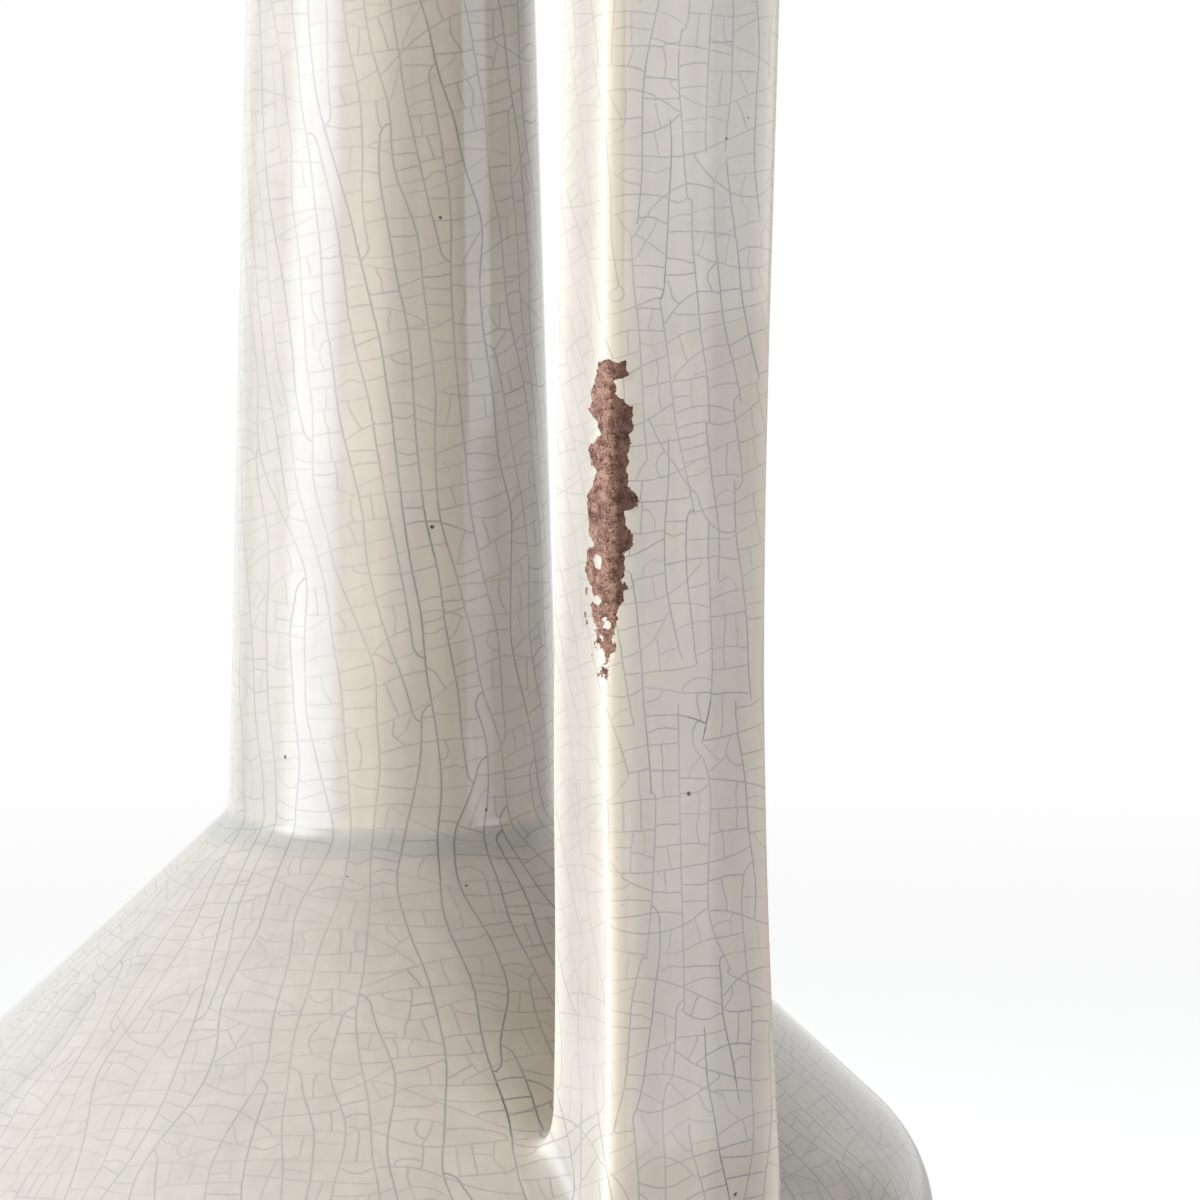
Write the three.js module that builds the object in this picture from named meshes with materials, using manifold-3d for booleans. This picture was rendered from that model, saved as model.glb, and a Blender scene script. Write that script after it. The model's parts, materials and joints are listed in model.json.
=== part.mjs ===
// Tall stoneware jug vase: a thrown body, a long thrown neck and a strap handle luted on with clay.
// Millimetres. +Z is up, the origin is the middle of the foot, and the handle stands towards +X.

import * as THREE from 'three';
import { mergeVertices } from 'three/addons/utils/BufferGeometryUtils.js';
import Module from 'manifold-3d';

const wasm = await Module();
wasm.setup();

// Body and neck
const footRingHeight = 5;
const footRingRadius = 47;
const footRingWidth = 8;
const footRingEase = 1;
const footStep = 3;
const bellyHeight = 58;
const bellyRadius = 85.4;
const bellyEdgeRadius = 23.6;
const bowlTurn = 25;
const creaseHeight = 124;
const creaseFillet = 4.5;
const neckFootRadius = 26;
const neckTopRadius = 21;
const neckTop = 300;
const wall = 5;
const floorThickness = 7;
const floorFillet = 9;

// Rolled rim
const rimRollRadius = 3.4;
const rimRollRise = 5.5;
const rimFlare = 2;

// Strap handle
const strapToeRise = 19;
const strapToeRadius = 9;
const strapWaistHeight = 158;
const strapWaistDraw = 2.6;
const strapTopReturn = 1.9;
const strapArmDrop = 17;
const strapBendInside = 11;
const strapWidth = 27.7;
const strapFootFlare = 2.9;
const strapFlareLength = 50;
const strapTopSpread = 1.4;
const strapFootThickness = 16.5;
const strapTopThickness = 12.3;
const strapCorner = 2.6;
const strapFacet = 0.6;
const strapFacetTurn = 4;

// Clay pressed round both ends of the handle
const rootCrotch = 8;
const rootOutside = 3.6;
const rootSpread = 6;
const rootEdge = 0.5;

// Fits
const seamLap = 2;
const clearance = 0.3;

// Fineness of the facets
const turnSegments = 60;
const arcSteps = 5;
const bendSteps = 8;
const straightSteps = 10;
const cornerSteps = 3;
const rootStep = 4;

const radians = THREE.MathUtils.degToRad;
const smoothstep = THREE.MathUtils.smoothstep;

function around(centre, radius, angle) {
  return new THREE.Vector2(Math.cos(angle), Math.sin(angle)).multiplyScalar(radius).add(centre);
}

function arc(centre, radius, from, to, steps) {
  return Array.from({ length: steps + 1 }, (_, i) => around(centre, radius, from + ((to - from) * i) / steps));
}

// The wall's side view. The shoulder is a straight cone, tangent to the belly's round edge.
const edgeCentre = new THREE.Vector2(bellyRadius - bellyEdgeRadius, bellyHeight);
const crease = new THREE.Vector2(neckFootRadius, creaseHeight);
const creaseOffset = crease.clone().sub(edgeCentre);
const shoulderNormal = creaseOffset.angle() - Math.acos(bellyEdgeRadius / creaseOffset.length());
const neckNormal = Math.atan2(neckFootRadius - neckTopRadius, neckTop - creaseHeight);

// The crease's fillet is hollow, so its centre lies outside the wall.
const origin = new THREE.Vector2();
const filletReach = creaseFillet / Math.cos((shoulderNormal - neckNormal) / 2);
const filletCentre = around(crease, filletReach, (shoulderNormal + neckNormal) / 2);

// The bowl is one arc from the belly's edge to a step outside the foot ring.
const bowlFoot = new THREE.Vector2(footRingRadius + footStep, footRingHeight);
const bowlDirection = around(origin, 1, Math.PI - radians(bowlTurn));
const footOffset = bowlFoot.clone().sub(edgeCentre);
const bowlExtra =
  (footOffset.lengthSq() - bellyEdgeRadius ** 2) / (2 * (bellyEdgeRadius + footOffset.dot(bowlDirection)));
const bowlCentre = bowlDirection.clone().multiplyScalar(bowlExtra).add(edgeCentre);
const bowlRadius = bellyEdgeRadius + bowlExtra;
const bowlFootTurn = bowlFoot.clone().sub(bowlCentre).angle() - 2 * Math.PI;

// The side view from the bowl's foot to the neck's top, moved into the wall by inset
function outline(inset) {
  const neckSlope = Math.tan(neckNormal);
  const neckEnd = around(new THREE.Vector2(neckTopRadius, neckTop), -inset, neckNormal);
  const neckOver = new THREE.Vector2(neckEnd.x - neckSlope * rimRollRise, neckEnd.y + rimRollRise);
  return [
    ...arc(bowlCentre, bowlRadius - inset, bowlFootTurn, -radians(bowlTurn), arcSteps),
    ...arc(edgeCentre, bellyEdgeRadius - inset, -radians(bowlTurn), 0, 2).slice(1),
    ...arc(edgeCentre, bellyEdgeRadius - inset, 0, shoulderNormal, arcSteps).slice(1),
    ...arc(filletCentre, -(creaseFillet + inset), shoulderNormal, neckNormal, arcSteps),
    neckOver,
  ];
}

// Where a side view that rises steadily stands at one height
function radiusAt(side, height) {
  const next = Math.min(Math.max(side.findIndex((point) => point.y > height), 1), side.length - 1);
  const [low, high] = [side[next - 1], side[next]];
  return THREE.MathUtils.mapLinear(height, low.y, high.y, low.x, high.x);
}

function between(side, low, high) {
  const margin = 1e-6;
  const inside = side.filter((point) => point.y > low + margin && point.y < high - margin);
  const ends = [low, high].map((height) => new THREE.Vector2(radiusAt(side, height), height));
  return [ends[0], ...inside, ends[1]];
}

const outer = outline(0);
const inner = outline(wall);

// Closed bodies
function solid(geometry) {
  geometry.deleteAttribute('normal');
  geometry.deleteAttribute('uv');
  const merged = mergeVertices(geometry, 1e-5);
  const corners = merged.index.array;
  const kept = [];
  for (let i = 0; i < corners.length; i += 3) {
    const [a, b, c] = corners.slice(i, i + 3);
    if (a !== b && b !== c && c !== a) {
      kept.push(a, b, c);
    }
  }
  const volume = signedVolume(merged.attributes.position, kept);
  merged.setIndex(volume < 0 ? kept.reverse() : kept);
  return merged;
}

function signedVolume(position, corners) {
  const [a, b, c] = [new THREE.Vector3(), new THREE.Vector3(), new THREE.Vector3()];
  let volume = 0;
  for (let i = 0; i < corners.length; i += 3) {
    a.fromBufferAttribute(position, corners[i]);
    b.fromBufferAttribute(position, corners[i + 1]);
    c.fromBufferAttribute(position, corners[i + 2]);
    volume += a.dot(b.cross(c)) / 6;
  }
  return volume;
}

function revolve(side) {
  return solid(new THREE.LatheGeometry(side, turnSegments).rotateX(Math.PI / 2));
}

function closedRevolve(side) {
  return revolve([...side, side[0].clone()]);
}

function cut(geometry, cutter) {
  const [piece, tool] = [geometry, cutter].map(
    (shape) =>
      new wasm.Manifold(
        new wasm.Mesh({
          numProp: 3,
          vertProperties: new Float32Array(shape.attributes.position.array),
          triVerts: new Uint32Array(shape.index.array),
        }),
      ),
  );
  const result = piece.subtract(tool).getMesh();
  const left = new THREE.BufferGeometry();
  left.setAttribute('position', new THREE.BufferAttribute(result.vertProperties, 3));
  left.setIndex(new THREE.BufferAttribute(result.triVerts, 1));
  return left;
}

// Rings of points of equal number, skinned in order. An open loft gets a flat cap at each end.
function loft(rings, closed) {
  const count = rings[0].length;
  const points = rings.flat();
  const faces = [];
  const spans = closed ? rings.length : rings.length - 1;
  for (let i = 0; i < spans; i += 1) {
    for (let k = 0; k < count; k += 1) {
      const [here, next] = [i * count, ((i + 1) % rings.length) * count];
      const along = (k + 1) % count;
      faces.push(here + k, here + along, next + along, here + k, next + along, next + k);
    }
  }
  if (!closed) {
    const last = (rings.length - 1) * count;
    for (let k = 1; k < count - 1; k += 1) {
      faces.push(0, k + 1, k, last, last + k, last + k + 1);
    }
  }
  const geometry = new THREE.BufferGeometry().setFromPoints(points);
  geometry.setIndex(faces);
  return solid(geometry);
}

// Thrown sections meet on a flat seam, where a tongue on the lower one locates the upper one.
function seamMiddle(height) {
  return (radiusAt(outer, height) + radiusAt(inner, height)) / 2;
}

function tongue(height) {
  const middle = seamMiddle(height);
  return [new THREE.Vector2(middle, height), new THREE.Vector2(middle, height + seamLap)];
}

function rebate(height) {
  const middle = seamMiddle(height) + clearance;
  const lap = height + seamLap + clearance;
  return [new THREE.Vector2(middle, height), new THREE.Vector2(middle, lap)];
}

const neckSeam = creaseHeight + creaseFillet / 2;

function footRing() {
  const inside = footRingRadius - footRingWidth;
  return closedRevolve([
    new THREE.Vector2(inside + footRingEase, 0),
    new THREE.Vector2(footRingRadius - footRingEase, 0),
    new THREE.Vector2(footRingRadius, footRingEase),
    new THREE.Vector2(footRingRadius, footRingHeight),
    new THREE.Vector2(inside, footRingHeight),
    new THREE.Vector2(inside, footRingEase),
  ]);
}

function lowerBody() {
  const floorTop = footRingHeight + floorThickness;
  const floorEdge = radiusAt(inner, floorTop + floorFillet / 2);
  const insideWall = between(inner, floorTop + floorFillet / 2, bellyHeight + seamLap).reverse();
  return revolve([
    new THREE.Vector2(0, footRingHeight),
    ...between(outer, footRingHeight, bellyHeight),
    ...tongue(bellyHeight),
    ...insideWall,
    new THREE.Vector2(floorEdge - floorFillet, floorTop),
    new THREE.Vector2(0, floorTop),
  ]);
}

function shoulder() {
  const insideWall = between(inner, bellyHeight + seamLap + clearance, neckSeam + seamLap).reverse();
  return closedRevolve([
    ...between(outer, bellyHeight, neckSeam),
    ...tongue(neckSeam),
    ...insideWall,
    ...rebate(bellyHeight).reverse(),
  ]);
}

function neck() {
  const insideWall = between(inner, neckSeam + seamLap + clearance, neckTop + seamLap).reverse();
  return closedRevolve([
    ...between(outer, neckSeam, neckTop),
    ...tongue(neckTop),
    ...insideWall,
    ...rebate(neckSeam).reverse(),
  ]);
}

function mouthRim() {
  const centre = new THREE.Vector2(neckTopRadius - wall / 2 + rimFlare, neckTop + rimRollRise);
  const lap = neckTop + seamLap + clearance;
  return closedRevolve([
    new THREE.Vector2(neckTopRadius, neckTop),
    ...arc(centre, rimRollRadius, -radians(50), radians(190), 2 * arcSteps),
    new THREE.Vector2(radiusAt(inner, lap), lap),
    ...rebate(neckTop).reverse(),
  ]);
}

// Strap handle. It stands flush with the belly, is drawn in at its waist and turns into the neck.
const toeHeight = bellyHeight + strapToeRise;
const strapBase = toeHeight - strapToeRadius + rootEdge;
const bendRadius = strapBendInside + strapTopThickness / 2;
const strapBendHeight = neckTop - strapArmDrop - bendRadius;
const bendLength = (bendRadius * Math.PI) / 2;
const uprightLength = strapBendHeight - strapBase;

function strapReach(height) {
  const drawn = strapWaistDraw * smoothstep(height, toeHeight, strapWaistHeight);
  const returned = Math.max(0, (height - strapWaistHeight) / (strapBendHeight - strapWaistHeight)) ** 2;
  return bellyRadius - drawn + strapTopReturn * returned;
}

const bendCentre = new THREE.Vector2(strapReach(strapBendHeight) - strapTopThickness / 2 - bendRadius, strapBendHeight);

// The strap's width, thickness, middle and outward direction, at a distance along it from its base
function strapAt(along) {
  const height = Math.min(strapBase + along, strapBendHeight);
  const flare = Math.max(0, 1 - (height - toeHeight) / strapFlareLength) ** 2;
  const spread = smoothstep(height, strapWaistHeight, strapBendHeight);
  const width = strapWidth + strapFootFlare * Math.min(flare, 1) + strapTopSpread * spread;
  const slimmed = smoothstep(height, toeHeight, strapBendHeight);
  const thickness = THREE.MathUtils.lerp(strapFootThickness, strapTopThickness, slimmed);
  const toeDrop = Math.max(0, toeHeight - height);
  const trim = strapToeRadius - Math.sqrt(strapToeRadius ** 2 - toeDrop ** 2);
  const turned = Math.min(Math.max(0, along - uprightLength) / bendRadius, Math.PI / 2);
  const arm = Math.max(0, along - uprightLength - bendLength);
  const middle = new THREE.Vector2(strapReach(height) - thickness / 2, height);
  if (turned > 0) {
    middle.copy(around(bendCentre, bendRadius, turned));
    middle.x -= arm;
  }
  return { width, thickness, trim, middle, out: around(origin, 1, turned) };
}

// The strap's section. Its broad outer face has a soft facet, and one edge is turned back.
function strapSection(along) {
  const { width, thickness, trim, middle, out } = strapAt(along);
  const half = width / 2;
  const facet = -half + strapFacet * width;
  const front = thickness / 2 - trim;
  const turnedBack = front - (half - facet) * Math.tan(radians(strapFacetTurn));
  const corners = [
    new THREE.Vector2(front, -half),
    new THREE.Vector2(turnedBack, half),
    new THREE.Vector2(-thickness / 2, half),
    new THREE.Vector2(-thickness / 2, -half),
  ];
  const before = [corners[3], new THREE.Vector2(front, facet), corners[1], corners[2]];
  const after = [new THREE.Vector2(front, facet), corners[2], corners[3], corners[0]];
  const points = corners.flatMap((corner, i) => {
    const [back, ahead] = [before[i], after[i]].map((end) =>
      end.clone().sub(corner).setLength(strapCorner).add(corner),
    );
    return new THREE.QuadraticBezierCurve(back, corner, ahead).getPoints(cornerSteps);
  });
  points.splice(cornerSteps + 1, 0, new THREE.Vector2(front, facet));
  return points.map(
    (point) => new THREE.Vector3(middle.x + out.x * point.x, point.y, middle.y + out.y * point.x),
  );
}

const armLength = bendCentre.x - neckTopRadius / 2;
const strapLength = uprightLength + bendLength + armLength;

function strapHandle(vase) {
  const toeSteps = arcSteps + 1;
  const toeLength = toeHeight - strapBase;
  const stops = [
    ...Array.from({ length: toeSteps }, (_, i) => toeLength * Math.sin((Math.PI / 2) * (i / toeSteps))),
    ...Array.from(
      { length: straightSteps },
      (_, i) => toeLength + ((uprightLength - toeLength) * i) / straightSteps,
    ),
    ...Array.from({ length: bendSteps + 1 }, (_, i) => uprightLength + (bendLength * i) / bendSteps),
    strapLength,
  ];
  return cut(loft(stops.map(strapSection), false), vase);
}

// A point of the strap's skin, moved out by lift, and the skin's direction there. A place is a
// point's number in the section, and a fraction lies between two points.
function strapSkin(place, along, lift) {
  const ring = strapSection(along);
  const ahead = strapSection(along + clearance);
  const count = ring.length;
  const low = Math.floor(place) % count;
  const high = (low + 1) % count;
  const before = (Math.ceil(place) - 1 + count) % count;
  const [point, further] = [ring, ahead].map((at) => at[low].clone().lerp(at[high], place % 1));
  const round = ring[high].clone().sub(ring[before]);
  const normal = round.cross(further.sub(point)).normalize();
  return { point: point.addScaledVector(normal, lift), normal };
}

// The pot's skin, moved out by lift, level with a point or straight across from it
const grown = outline(-clearance);

function potNormal(height) {
  const probe = clearance;
  const slope = radiusAt(grown, height + probe) - radiusAt(grown, height - probe);
  return new THREE.Vector2(2 * probe, -slope).normalize();
}

function potSkin(point) {
  const side = potNormal(point.z);
  const level = new THREE.Vector3(point.x, point.y, 0).normalize();
  const radius = radiusAt(grown, point.z);
  const skin = level.clone().multiplyScalar(radius).setZ(point.z);
  const normal = level.multiplyScalar(side.x).setZ(side.y);
  return { point: skin, normal };
}

// How far along the strap one line of its skin leaves the pot, looking from inside outwards
function leavesPot(place, from, to) {
  let [inside, outside] = [from, to];
  for (let i = 0; i < 40; i += 1) {
    const middle = (inside + outside) / 2;
    const { point } = strapSkin(place, middle, clearance);
    const within = Math.hypot(point.x, point.y) < radiusAt(grown, point.z);
    [inside, outside] = within ? [middle, outside] : [inside, middle];
  }
  return outside;
}

// A hollow fillet of clay round one end of the strap, seated on the strap and on the pot
function handleRoot(from, to) {
  const way = Math.sign(to - from);
  const section = strapSection((from + to) / 2);
  const places = section.flatMap((point, i) => {
    const steps = Math.ceil(point.distanceTo(section[(i + 1) % section.length]) / rootStep);
    return Array.from({ length: steps }, (_, j) => i + j / steps);
  });
  const ring = places.map((place) => {
    const start = leavesPot(place, from, to);
    const { thickness, middle, out } = strapAt(start);
    const corner = strapSkin(place, start, clearance);
    const across = (corner.point.x - middle.x) * out.x + (corner.point.z - middle.y) * out.y;
    const share = THREE.MathUtils.clamp(0.5 + across / thickness, 0, 1);
    const height = THREE.MathUtils.lerp(rootCrotch, rootOutside, share);
    const half = strapSkin(place, start + (way * height) / 2, clearance);
    const top = strapSkin(place, start + way * height, clearance);
    const base = potSkin(corner.point);
    const spread = corner.normal
      .clone()
      .addScaledVector(base.normal, -corner.normal.dot(base.normal))
      .setLength(Math.min(rootSpread, height * 1.2));
    const foot = potSkin(corner.point.clone().add(spread));
    const nearFoot = potSkin(corner.point.clone().addScaledVector(spread, 0.5));
    const lean = corner.normal.clone().add(base.normal).divideScalar(1 + corner.normal.dot(base.normal));
    const hollow = new THREE.QuadraticBezierCurve3(
      top.point.clone().addScaledVector(top.normal, rootEdge),
      corner.point.clone().addScaledVector(lean, rootEdge),
      foot.point.clone().addScaledVector(foot.normal, rootEdge),
    );
    return [corner.point, half.point, top.point, ...hollow.getPoints(4), foot.point, nearFoot.point];
  });
  return loft(ring, true);
}

// Finishes: a pale crackle glaze over brown stoneware, and the bare clay of the foot
const crackleGlaze = { color: '#cfc9ba', roughness: 0.22, metalness: 0 };
const bareClay = { color: '#7a5243', roughness: 0.85, metalness: 0 };

const vase = new THREE.Group();

function add(name, geometry, finish) {
  const mesh = new THREE.Mesh(geometry, new THREE.MeshStandardMaterial(finish));
  mesh.name = name;
  vase.add(mesh);
}

const potSpace = revolve([
  new THREE.Vector2(0, footRingHeight - clearance),
  ...between(grown, footRingHeight - clearance, neckTop + rimRollRise),
  new THREE.Vector2(0, neckTop + rimRollRise),
]);

add('foot_ring', footRing(), bareClay);
add('lower_body', lowerBody(), crackleGlaze);
add('shoulder', shoulder(), crackleGlaze);
add('neck', neck(), crackleGlaze);
add('mouth_rim', mouthRim(), crackleGlaze);
add('strap_handle', strapHandle(potSpace), crackleGlaze);
add('lower_handle_root', handleRoot(0, strapFlareLength), crackleGlaze);
add('upper_handle_root', handleRoot(strapLength, strapLength - armLength), crackleGlaze);

export default vase;
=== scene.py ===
import json
import math

import bpy
import numpy as np
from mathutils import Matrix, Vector, noise
from mathutils.bvhtree import BVHTree
from mathutils.kdtree import KDTree

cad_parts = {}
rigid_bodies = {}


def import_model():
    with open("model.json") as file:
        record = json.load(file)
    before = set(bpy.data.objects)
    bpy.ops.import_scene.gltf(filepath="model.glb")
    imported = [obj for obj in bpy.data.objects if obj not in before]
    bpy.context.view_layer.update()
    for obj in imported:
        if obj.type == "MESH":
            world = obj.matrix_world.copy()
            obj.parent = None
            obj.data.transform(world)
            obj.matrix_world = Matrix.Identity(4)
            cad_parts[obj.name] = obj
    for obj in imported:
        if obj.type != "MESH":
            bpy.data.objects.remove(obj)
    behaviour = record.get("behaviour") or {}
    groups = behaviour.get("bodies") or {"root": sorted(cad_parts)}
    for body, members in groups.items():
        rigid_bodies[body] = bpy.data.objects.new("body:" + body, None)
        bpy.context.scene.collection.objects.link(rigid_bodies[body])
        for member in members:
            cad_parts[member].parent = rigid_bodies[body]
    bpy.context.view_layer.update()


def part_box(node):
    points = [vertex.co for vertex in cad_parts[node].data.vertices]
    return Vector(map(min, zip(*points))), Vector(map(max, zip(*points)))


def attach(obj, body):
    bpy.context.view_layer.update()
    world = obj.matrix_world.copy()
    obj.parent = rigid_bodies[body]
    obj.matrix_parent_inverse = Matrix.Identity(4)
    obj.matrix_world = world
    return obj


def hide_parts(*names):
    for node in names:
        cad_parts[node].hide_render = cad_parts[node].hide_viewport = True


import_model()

MM = 0.001


# Studio
# A pale paper floor inside a ring of soft lit screens. The vase is seen close up from a little above,
# past the edge of its strap handle, by a long lens, against a white backdrop.

CREASE_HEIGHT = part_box("neck")[0].z - 2.25 * MM
VIEW_AZIMUTH = math.radians(-33.0)
VIEW_DISTANCE = 930 * MM
VIEW_ASIDE = 32.43 * MM
VIEW_RISE = 147.3 * MM
VIEW_PITCH = math.radians(7.017)
LENS_MM = 179.35
SENSOR_MM = 36


def level_direction(azimuth):
    return Vector((math.cos(azimuth), math.sin(azimuth), 0))


to_camera = level_direction(VIEW_AZIMUTH)
camera = bpy.data.objects.new("camera", bpy.data.cameras.new("camera"))
bpy.context.scene.collection.objects.link(camera)
camera.data.sensor_width = SENSOR_MM
camera.data.lens = LENS_MM
camera.location = (
    to_camera * VIEW_DISTANCE
    + level_direction(VIEW_AZIMUTH + math.pi / 2) * VIEW_ASIDE
    + Vector((0, 0, CREASE_HEIGHT + VIEW_RISE))
)
sight = -to_camera * math.cos(VIEW_PITCH) - Vector((0, 0, math.sin(VIEW_PITCH)))
camera.rotation_euler = sight.to_track_quat("-Z", "Y").to_euler()
bpy.context.scene.camera = camera
bpy.context.scene.view_settings.view_transform = "Standard"


def linear(hex_colour):
    """A colour written as sRGB hex, turned to the linear values that shaders work in."""
    parts = [int(hex_colour[i:i + 2], 16) / 255 for i in (1, 3, 5)]
    return [c / 12.92 if c <= 0.04045 else ((c + 0.055) / 1.055) ** 2.4 for c in parts] + [1]


def add_node(tree, kind, inputs=(), **settings):
    """Adds a shader node: inputs are values or sockets to link, settings are the node's own."""
    made = tree.nodes.new("ShaderNode" + kind)
    for name, value in settings.items():
        setattr(made, name, value)
    for name, value in dict(inputs).items():
        if isinstance(value, bpy.types.NodeSocket):
            tree.links.new(value, made.inputs[name])
        else:
            made.inputs[name].default_value = value
    return made


def deselect_all():
    if bpy.context.object and bpy.context.object.mode != "OBJECT":
        bpy.ops.object.mode_set(mode="OBJECT")
    bpy.ops.object.select_all(action="DESELECT")


BACKDROP_FULL = math.cos(math.radians(150))
BACKDROP_ENDS = math.cos(math.radians(125))


def on_backdrop(tree, direction):
    """1 towards the white backdrop, which hangs across from the camera, fading to 0 at its sides."""
    level = add_node(tree, "VectorMath", {0: direction, 1: (1, 1, 0)}, operation="MULTIPLY").outputs[0]
    turned = add_node(tree, "VectorMath", {0: level}, operation="NORMALIZE").outputs[0]
    toward = add_node(tree, "VectorMath", {0: turned, 1: to_camera}, operation="DOT_PRODUCT")
    return add_node(tree, "MapRange", {
        "Value": toward.outputs["Value"], "From Min": BACKDROP_ENDS, "From Max": BACKDROP_FULL},
        interpolation_type="SMOOTHSTEP").outputs["Result"]


FLOOR_SIZE = 40
FLOOR_COLOUR = "#F2F1EF"
FLOOR_GLOW_FROM = 0.35
FLOOR_GLOW_TO = 0.9
FLOOR_NEAR_GLOW = 0.62
FLOOR_NEAR_SHINE = 0.18

deselect_all()
bpy.ops.mesh.primitive_plane_add(size=FLOOR_SIZE)
floor = bpy.context.object
floor.name = "floor"
floor_paper = bpy.data.materials.new("white_paper_sweep")
floor_paper.use_nodes = True
tree = floor_paper.node_tree
tree.nodes.clear()
place = add_node(tree, "TexCoord").outputs["Object"]
path = add_node(tree, "LightPath")
away = add_node(tree, "VectorMath", {0: place}, operation="LENGTH").outputs["Value"]
far = add_node(tree, "MapRange", {"Value": away, "From Min": FLOOR_GLOW_FROM, "From Max": FLOOR_GLOW_TO},
               interpolation_type="SMOOTHSTEP").outputs["Result"]
# Far from the vase the paper glows instead of being lit, so that the background is an even white.
glow = add_node(tree, "MapRange", {"Value": far, "To Min": FLOOR_NEAR_GLOW, "To Max": 1.0}).outputs["Result"]
shine = add_node(tree, "MapRange", {"Value": far, "To Min": FLOOR_NEAR_SHINE,
                                    "To Max": on_backdrop(tree, place)}).outputs["Result"]
mirrored = add_node(tree, "Math", {0: path.outputs["Is Glossy Ray"], 1: path.outputs["Is Transmission Ray"]},
                    operation="MAXIMUM").outputs[0]
seen = add_node(tree, "Math", {0: path.outputs["Is Camera Ray"], 1: mirrored}, operation="MAXIMUM").outputs[0]
shown = add_node(tree, "Mix", {"Factor": path.outputs["Is Camera Ray"], "A": shine, "B": glow}).outputs[0]
strength = add_node(tree, "Math", {0: shown, 1: seen}, operation="MULTIPLY").outputs[0]
unlit = add_node(tree, "Math", {0: far, 1: seen}, operation="MULTIPLY").outputs[0]
paper = add_node(tree, "BsdfDiffuse", {"Color": linear(FLOOR_COLOUR)})
dark = add_node(tree, "BsdfDiffuse", {"Color": (0, 0, 0, 1)})
body = add_node(tree, "MixShader", {0: unlit, 1: paper.outputs[0], 2: dark.outputs[0]})
own_light = add_node(tree, "Emission", {"Strength": strength})
both = add_node(tree, "AddShader", {0: body.outputs[0], 1: own_light.outputs[0]})
add_node(tree, "OutputMaterial", {"Surface": both.outputs[0]})
floor.data.materials.append(floor_paper)

BACKDROP_TOP_FROM = 0.7
BACKDROP_TOP_TO = 0.85
ROOM_LIGHT = 0.06

world = bpy.data.worlds.new("studio")
bpy.context.scene.world = world
world.use_nodes = True
tree = world.node_tree
tree.nodes.clear()
direction = add_node(tree, "TexCoord").outputs["Generated"]
path = add_node(tree, "LightPath")
rise = add_node(tree, "SeparateXYZ", {0: direction}).outputs["Z"]
below_top = add_node(tree, "MapRange", {
    "Value": rise, "From Min": BACKDROP_TOP_TO, "From Max": BACKDROP_TOP_FROM},
    interpolation_type="SMOOTHSTEP")
backdrop = add_node(tree, "Math", {0: on_backdrop(tree, direction), 1: below_top.outputs["Result"]},
                    operation="MULTIPLY").outputs[0]
room = add_node(tree, "Math", {0: backdrop, 1: ROOM_LIGHT}, operation="MAXIMUM").outputs[0]
white = add_node(tree, "Math", {0: room, 1: path.outputs["Is Camera Ray"]}, operation="MAXIMUM").outputs[0]
background = add_node(tree, "Background", {"Color": (1, 1, 1, 1), "Strength": white})
add_node(tree, "OutputWorld", {"Surface": background.outputs[0]})

SCREEN_DISTANCE = 0.5
SCREEN_SPACING = 5 * MM
SCREEN_STEPS = (30, 8)
SCREEN_MIDDLE = 0.35
SCREEN_TOP = 0.95
SCREEN_TOP_FADE = 0.45


def hang_screen(name, turns, fades, heights, light):
    """A curved sheet of lit diffuser. It is even between two turns from the camera, in degrees, and
    its light fades out over some degrees more at each side, and upwards where it reaches the top."""
    distance = SCREEN_DISTANCE + SCREEN_SPACING * len([o for o in bpy.data.objects if "screen" in o.name])
    start, end = turns[0] - fades[0], turns[1] + fades[1]
    deselect_all()
    bpy.ops.mesh.primitive_grid_add(x_subdivisions=SCREEN_STEPS[0], y_subdivisions=SCREEN_STEPS[1], size=1)
    screen = bpy.context.object
    screen.name = name
    glows = screen.data.attributes.new("glow", "FLOAT", "POINT").data
    for vertex, glow in zip(screen.data.vertices, glows):
        turn = start + (end - start) * (vertex.co.x + 0.5)
        height = heights[0] + (heights[1] - heights[0]) * (vertex.co.y + 0.5)
        risen = min((turn - start) / fades[0], (end - turn) / fades[1], 1)
        lowered = min((SCREEN_TOP - height) / SCREEN_TOP_FADE, 1)
        glow.value = risen * risen * (3 - 2 * risen) * lowered * lowered * (3 - 2 * lowered)
        vertex.co = level_direction(VIEW_AZIMUTH + math.radians(turn)) * distance + Vector((0, 0, height))
    screen.visible_camera = False
    screen.visible_shadow = False
    material = bpy.data.materials.new(name)
    material.use_nodes = True
    tree = material.node_tree
    tree.nodes.clear()
    glow = add_node(tree, "Attribute", attribute_name="glow").outputs["Fac"]
    lit = add_node(tree, "Emission", {"Color": (*light, 1), "Strength": glow})
    clear = add_node(tree, "BsdfTransparent")
    sheet = add_node(tree, "AddShader", {0: clear.outputs[0], 1: lit.outputs[0]})
    add_node(tree, "OutputMaterial", {"Surface": sheet.outputs[0]})
    screen.data.materials.append(material)


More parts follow.
